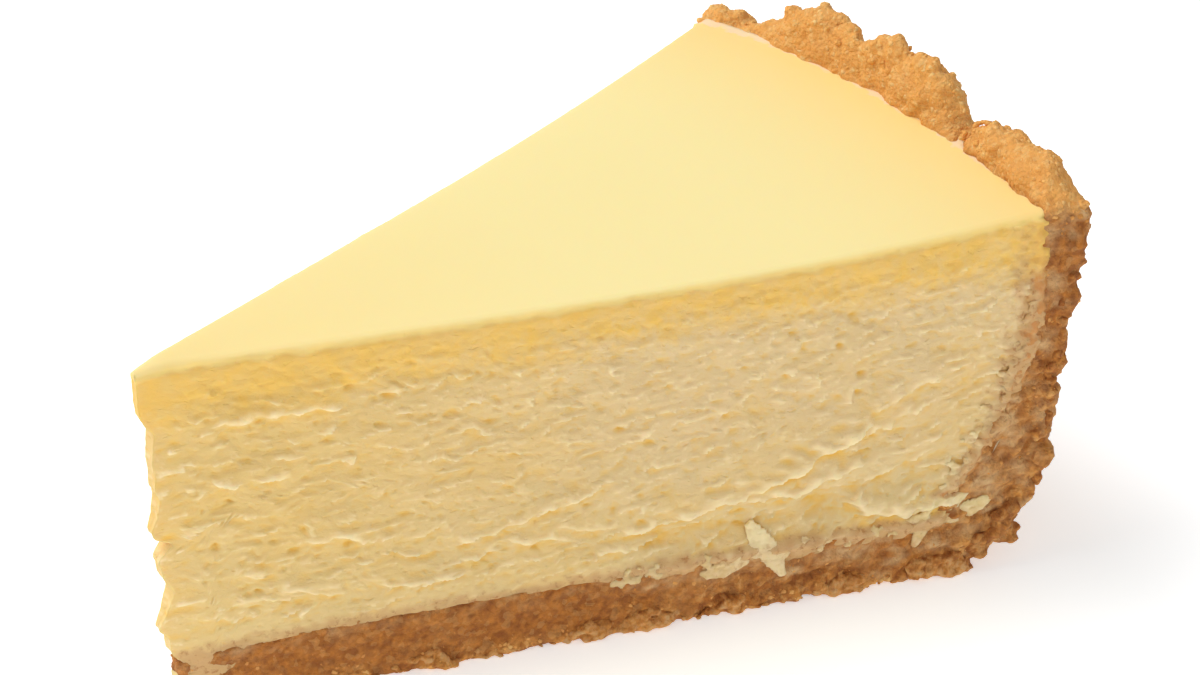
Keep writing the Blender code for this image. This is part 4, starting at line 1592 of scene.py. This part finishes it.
class CHEESECAKE_OT_crust(bpy.types.Operator):
    """Make the crust of pressed crumbs"""

    bl_idname = "cheesecake.crust"
    bl_label = "Make Crust"

    def execute(self, context):
        settings = context.scene.cheesecake_crust
        material = crust_material(settings, shared_groups())
        carrier = carrier_object("crust core", crust_core_mesh())
        tree = bpy.data.node_groups.get("scattered grains") or scatter_tree()
        scatter_on(carrier, tree, {
            "Density": settings.granules, "Least Size": settings.granule_least,
            "Largest Size": settings.granule_most, "Sink": 0.62, "Flatness": 0.9,
            "Unevenness": 0.9, "Facets": 2, "Seed": 3, "Keep Surface": True,
            "Material": material})
        mesh = pressed_mesh(carrier, settings.voxel)
        finish_crust(mesh)
        piece = new_piece("crust_body", mesh, material)
        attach(piece, "root")
        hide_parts("crumb_crust")
        return {"FINISHED"}


class CHEESECAKE_OT_clumps(bpy.types.Operator):
    """Press clumps of crumbs on to the broken edges of the crust"""

    bl_idname = "cheesecake.clumps"
    bl_label = "Press Clumps"

    def execute(self, context):
        settings = context.scene.cheesecake_crumbs
        material = bpy.data.materials["pressed crumbs"]
        carrier = carrier_object("clump carrier", clumps_mesh(settings))
        mesh = pressed_mesh(carrier, settings.clump_voxel, 4)
        finish_clumps(mesh)
        piece = new_piece("crust_clumps", mesh, material)
        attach(piece, "root")
        return {"FINISHED"}


class CHEESECAKE_OT_crumbs(bpy.types.Operator):
    """Scatter small crumbs over the crust"""

    bl_idname = "cheesecake.crumbs"
    bl_label = "Scatter Crumbs"

    def execute(self, context):
        settings = context.scene.cheesecake_crumbs
        material = crumb_material(context.scene.cheesecake_crust, shared_groups())
        crust = bpy.data.objects["crust_body"]
        carrier = carrier_object("crumb carrier", crust.data.copy())
        tree = bpy.data.node_groups["scattered grains"]
        scatter_on(carrier, tree, {
            "Density": settings.density, "Least Size": settings.least,
            "Largest Size": settings.most, "Sink": 0.55, "Flatness": 0.8,
            "Unevenness": 1.6, "Facets": 1, "Seed": settings.seed, "Keep Surface": False,
            "Material": material})
        mesh = finished_mesh(carrier)
        keep_off_floor(mesh)
        piece = new_piece("crust_crumbs", mesh, material)
        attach(piece, "root")
        return {"FINISHED"}


class CHEESECAKE_OT_stage(bpy.types.Operator):
    """Set the pale floor, the soft light and the camera"""

    bl_idname = "cheesecake.stage"
    bl_label = "Set Stage"

    def execute(self, context):
        settings = context.scene.cheesecake_stage
        scene = context.scene
        scene.view_settings.view_transform = "Standard"
        reach = settings.floor_reach
        corners = [(-reach, -reach, 0.0), (reach, -reach, 0.0), (reach, reach, 0.0), (-reach, reach, 0.0)]
        mesh = bpy.data.meshes.new("floor")
        mesh.from_pydata(corners, [], [(0, 1, 2, 3)])
        floor = new_piece("floor", mesh, floor_material())
        sky = bpy.data.worlds.new("pale studio")
        sky.use_nodes = True
        background = sky.node_tree.nodes["Background"]
        background.inputs["Color"].default_value = (1.0, 1.0, 1.0, 1.0)
        background.inputs["Strength"].default_value = SKY_STRENGTH
        scene.world = sky
        for light in LIGHTS:
            add_soft_light(*light)
        scene.camera = add_camera(settings)
        return {"FINISHED"}


def aim_turn(place, target):
    """The rotation that turns a camera or light at a place towards a target."""
    return (Vector(target) - Vector(place)).to_track_quat("-Z", "Y").to_euler()


def add_soft_light(name, place, size, power):
    """A large square light aimed at the slice."""
    light = bpy.data.lights.new(name, "AREA")
    light.shape = "SQUARE"
    light.size = size
    light.energy = power
    lamp = bpy.data.objects.new(name, light)
    lamp.location = place
    lamp.rotation_euler = aim_turn(place, LIGHT_TARGET)
    bpy.context.scene.collection.objects.link(lamp)


def add_camera(settings):
    """The camera, at the photograph's viewing angle."""
    lens = bpy.data.cameras.new("camera")
    lens.lens = settings.lens
    lens.sensor_width = SENSOR_WIDTH
    camera = bpy.data.objects.new("camera", lens)
    flat = math.cos(settings.elevation)
    back = Vector((math.sin(settings.azimuth) * flat, -math.cos(settings.azimuth) * flat,
                   math.sin(settings.elevation)))
    camera.location = Vector(settings.aim) + back * settings.distance
    camera.rotation_euler = aim_turn(camera.location, settings.aim)
    bpy.context.scene.collection.objects.link(camera)
    return camera


class CHEESECAKE_PT_panel(bpy.types.Panel):
    """Settings and buttons of the cheesecake slice"""

    bl_label = "Cheesecake Slice"
    bl_idname = "CHEESECAKE_PT_panel"
    bl_space_type = "VIEW_3D"
    bl_region_type = "UI"
    bl_category = "Cheesecake"

    def draw(self, context):
        for group, operators in (("cheesecake_filling", ("cheesecake.filling", "cheesecake.flakes")),
                                 ("cheesecake_crust", ("cheesecake.crust",)),
                                 ("cheesecake_crumbs", ("cheesecake.clumps", "cheesecake.crumbs")),
                                 ("cheesecake_stage", ("cheesecake.stage",))):
            box = self.layout.box()
            settings = getattr(context.scene, group)
            for name in settings.bl_rna.properties.keys():
                if name not in ("rna_type", "name"):
                    box.prop(settings, name)
            for operator in operators:
                box.operator(operator)


SETTINGS = (
    ("cheesecake_filling", FillingSettings),
    ("cheesecake_crust", CrustSettings),
    ("cheesecake_crumbs", CrumbSettings),
    ("cheesecake_stage", StageSettings),
)
OPERATORS = (
    CHEESECAKE_OT_filling,
    CHEESECAKE_OT_flakes,
    CHEESECAKE_OT_crust,
    CHEESECAKE_OT_clumps,
    CHEESECAKE_OT_crumbs,
    CHEESECAKE_OT_stage,
)


def register():
    """Add the settings, the operators and the panel."""
    for name, settings in SETTINGS:
        bpy.utils.register_class(settings)
        setattr(bpy.types.Scene, name, bpy.props.PointerProperty(type=settings))
    for operator in OPERATORS:
        bpy.utils.register_class(operator)
    bpy.utils.register_class(CHEESECAKE_PT_panel)


def unregister():
    """Take the panel, the operators and the settings away."""
    bpy.utils.unregister_class(CHEESECAKE_PT_panel)
    for operator in reversed(OPERATORS):
        bpy.utils.unregister_class(operator)
    for name, settings in reversed(SETTINGS):
        delattr(bpy.types.Scene, name)
        bpy.utils.unregister_class(settings)


def main():
    """Make every piece in order."""
    register()
    bpy.ops.cheesecake.filling()
    bpy.ops.cheesecake.flakes()
    bpy.ops.cheesecake.crust()
    bpy.ops.cheesecake.clumps()
    bpy.ops.cheesecake.crumbs()
    bpy.ops.cheesecake.stage()


if __name__ == "__main__":
    main()
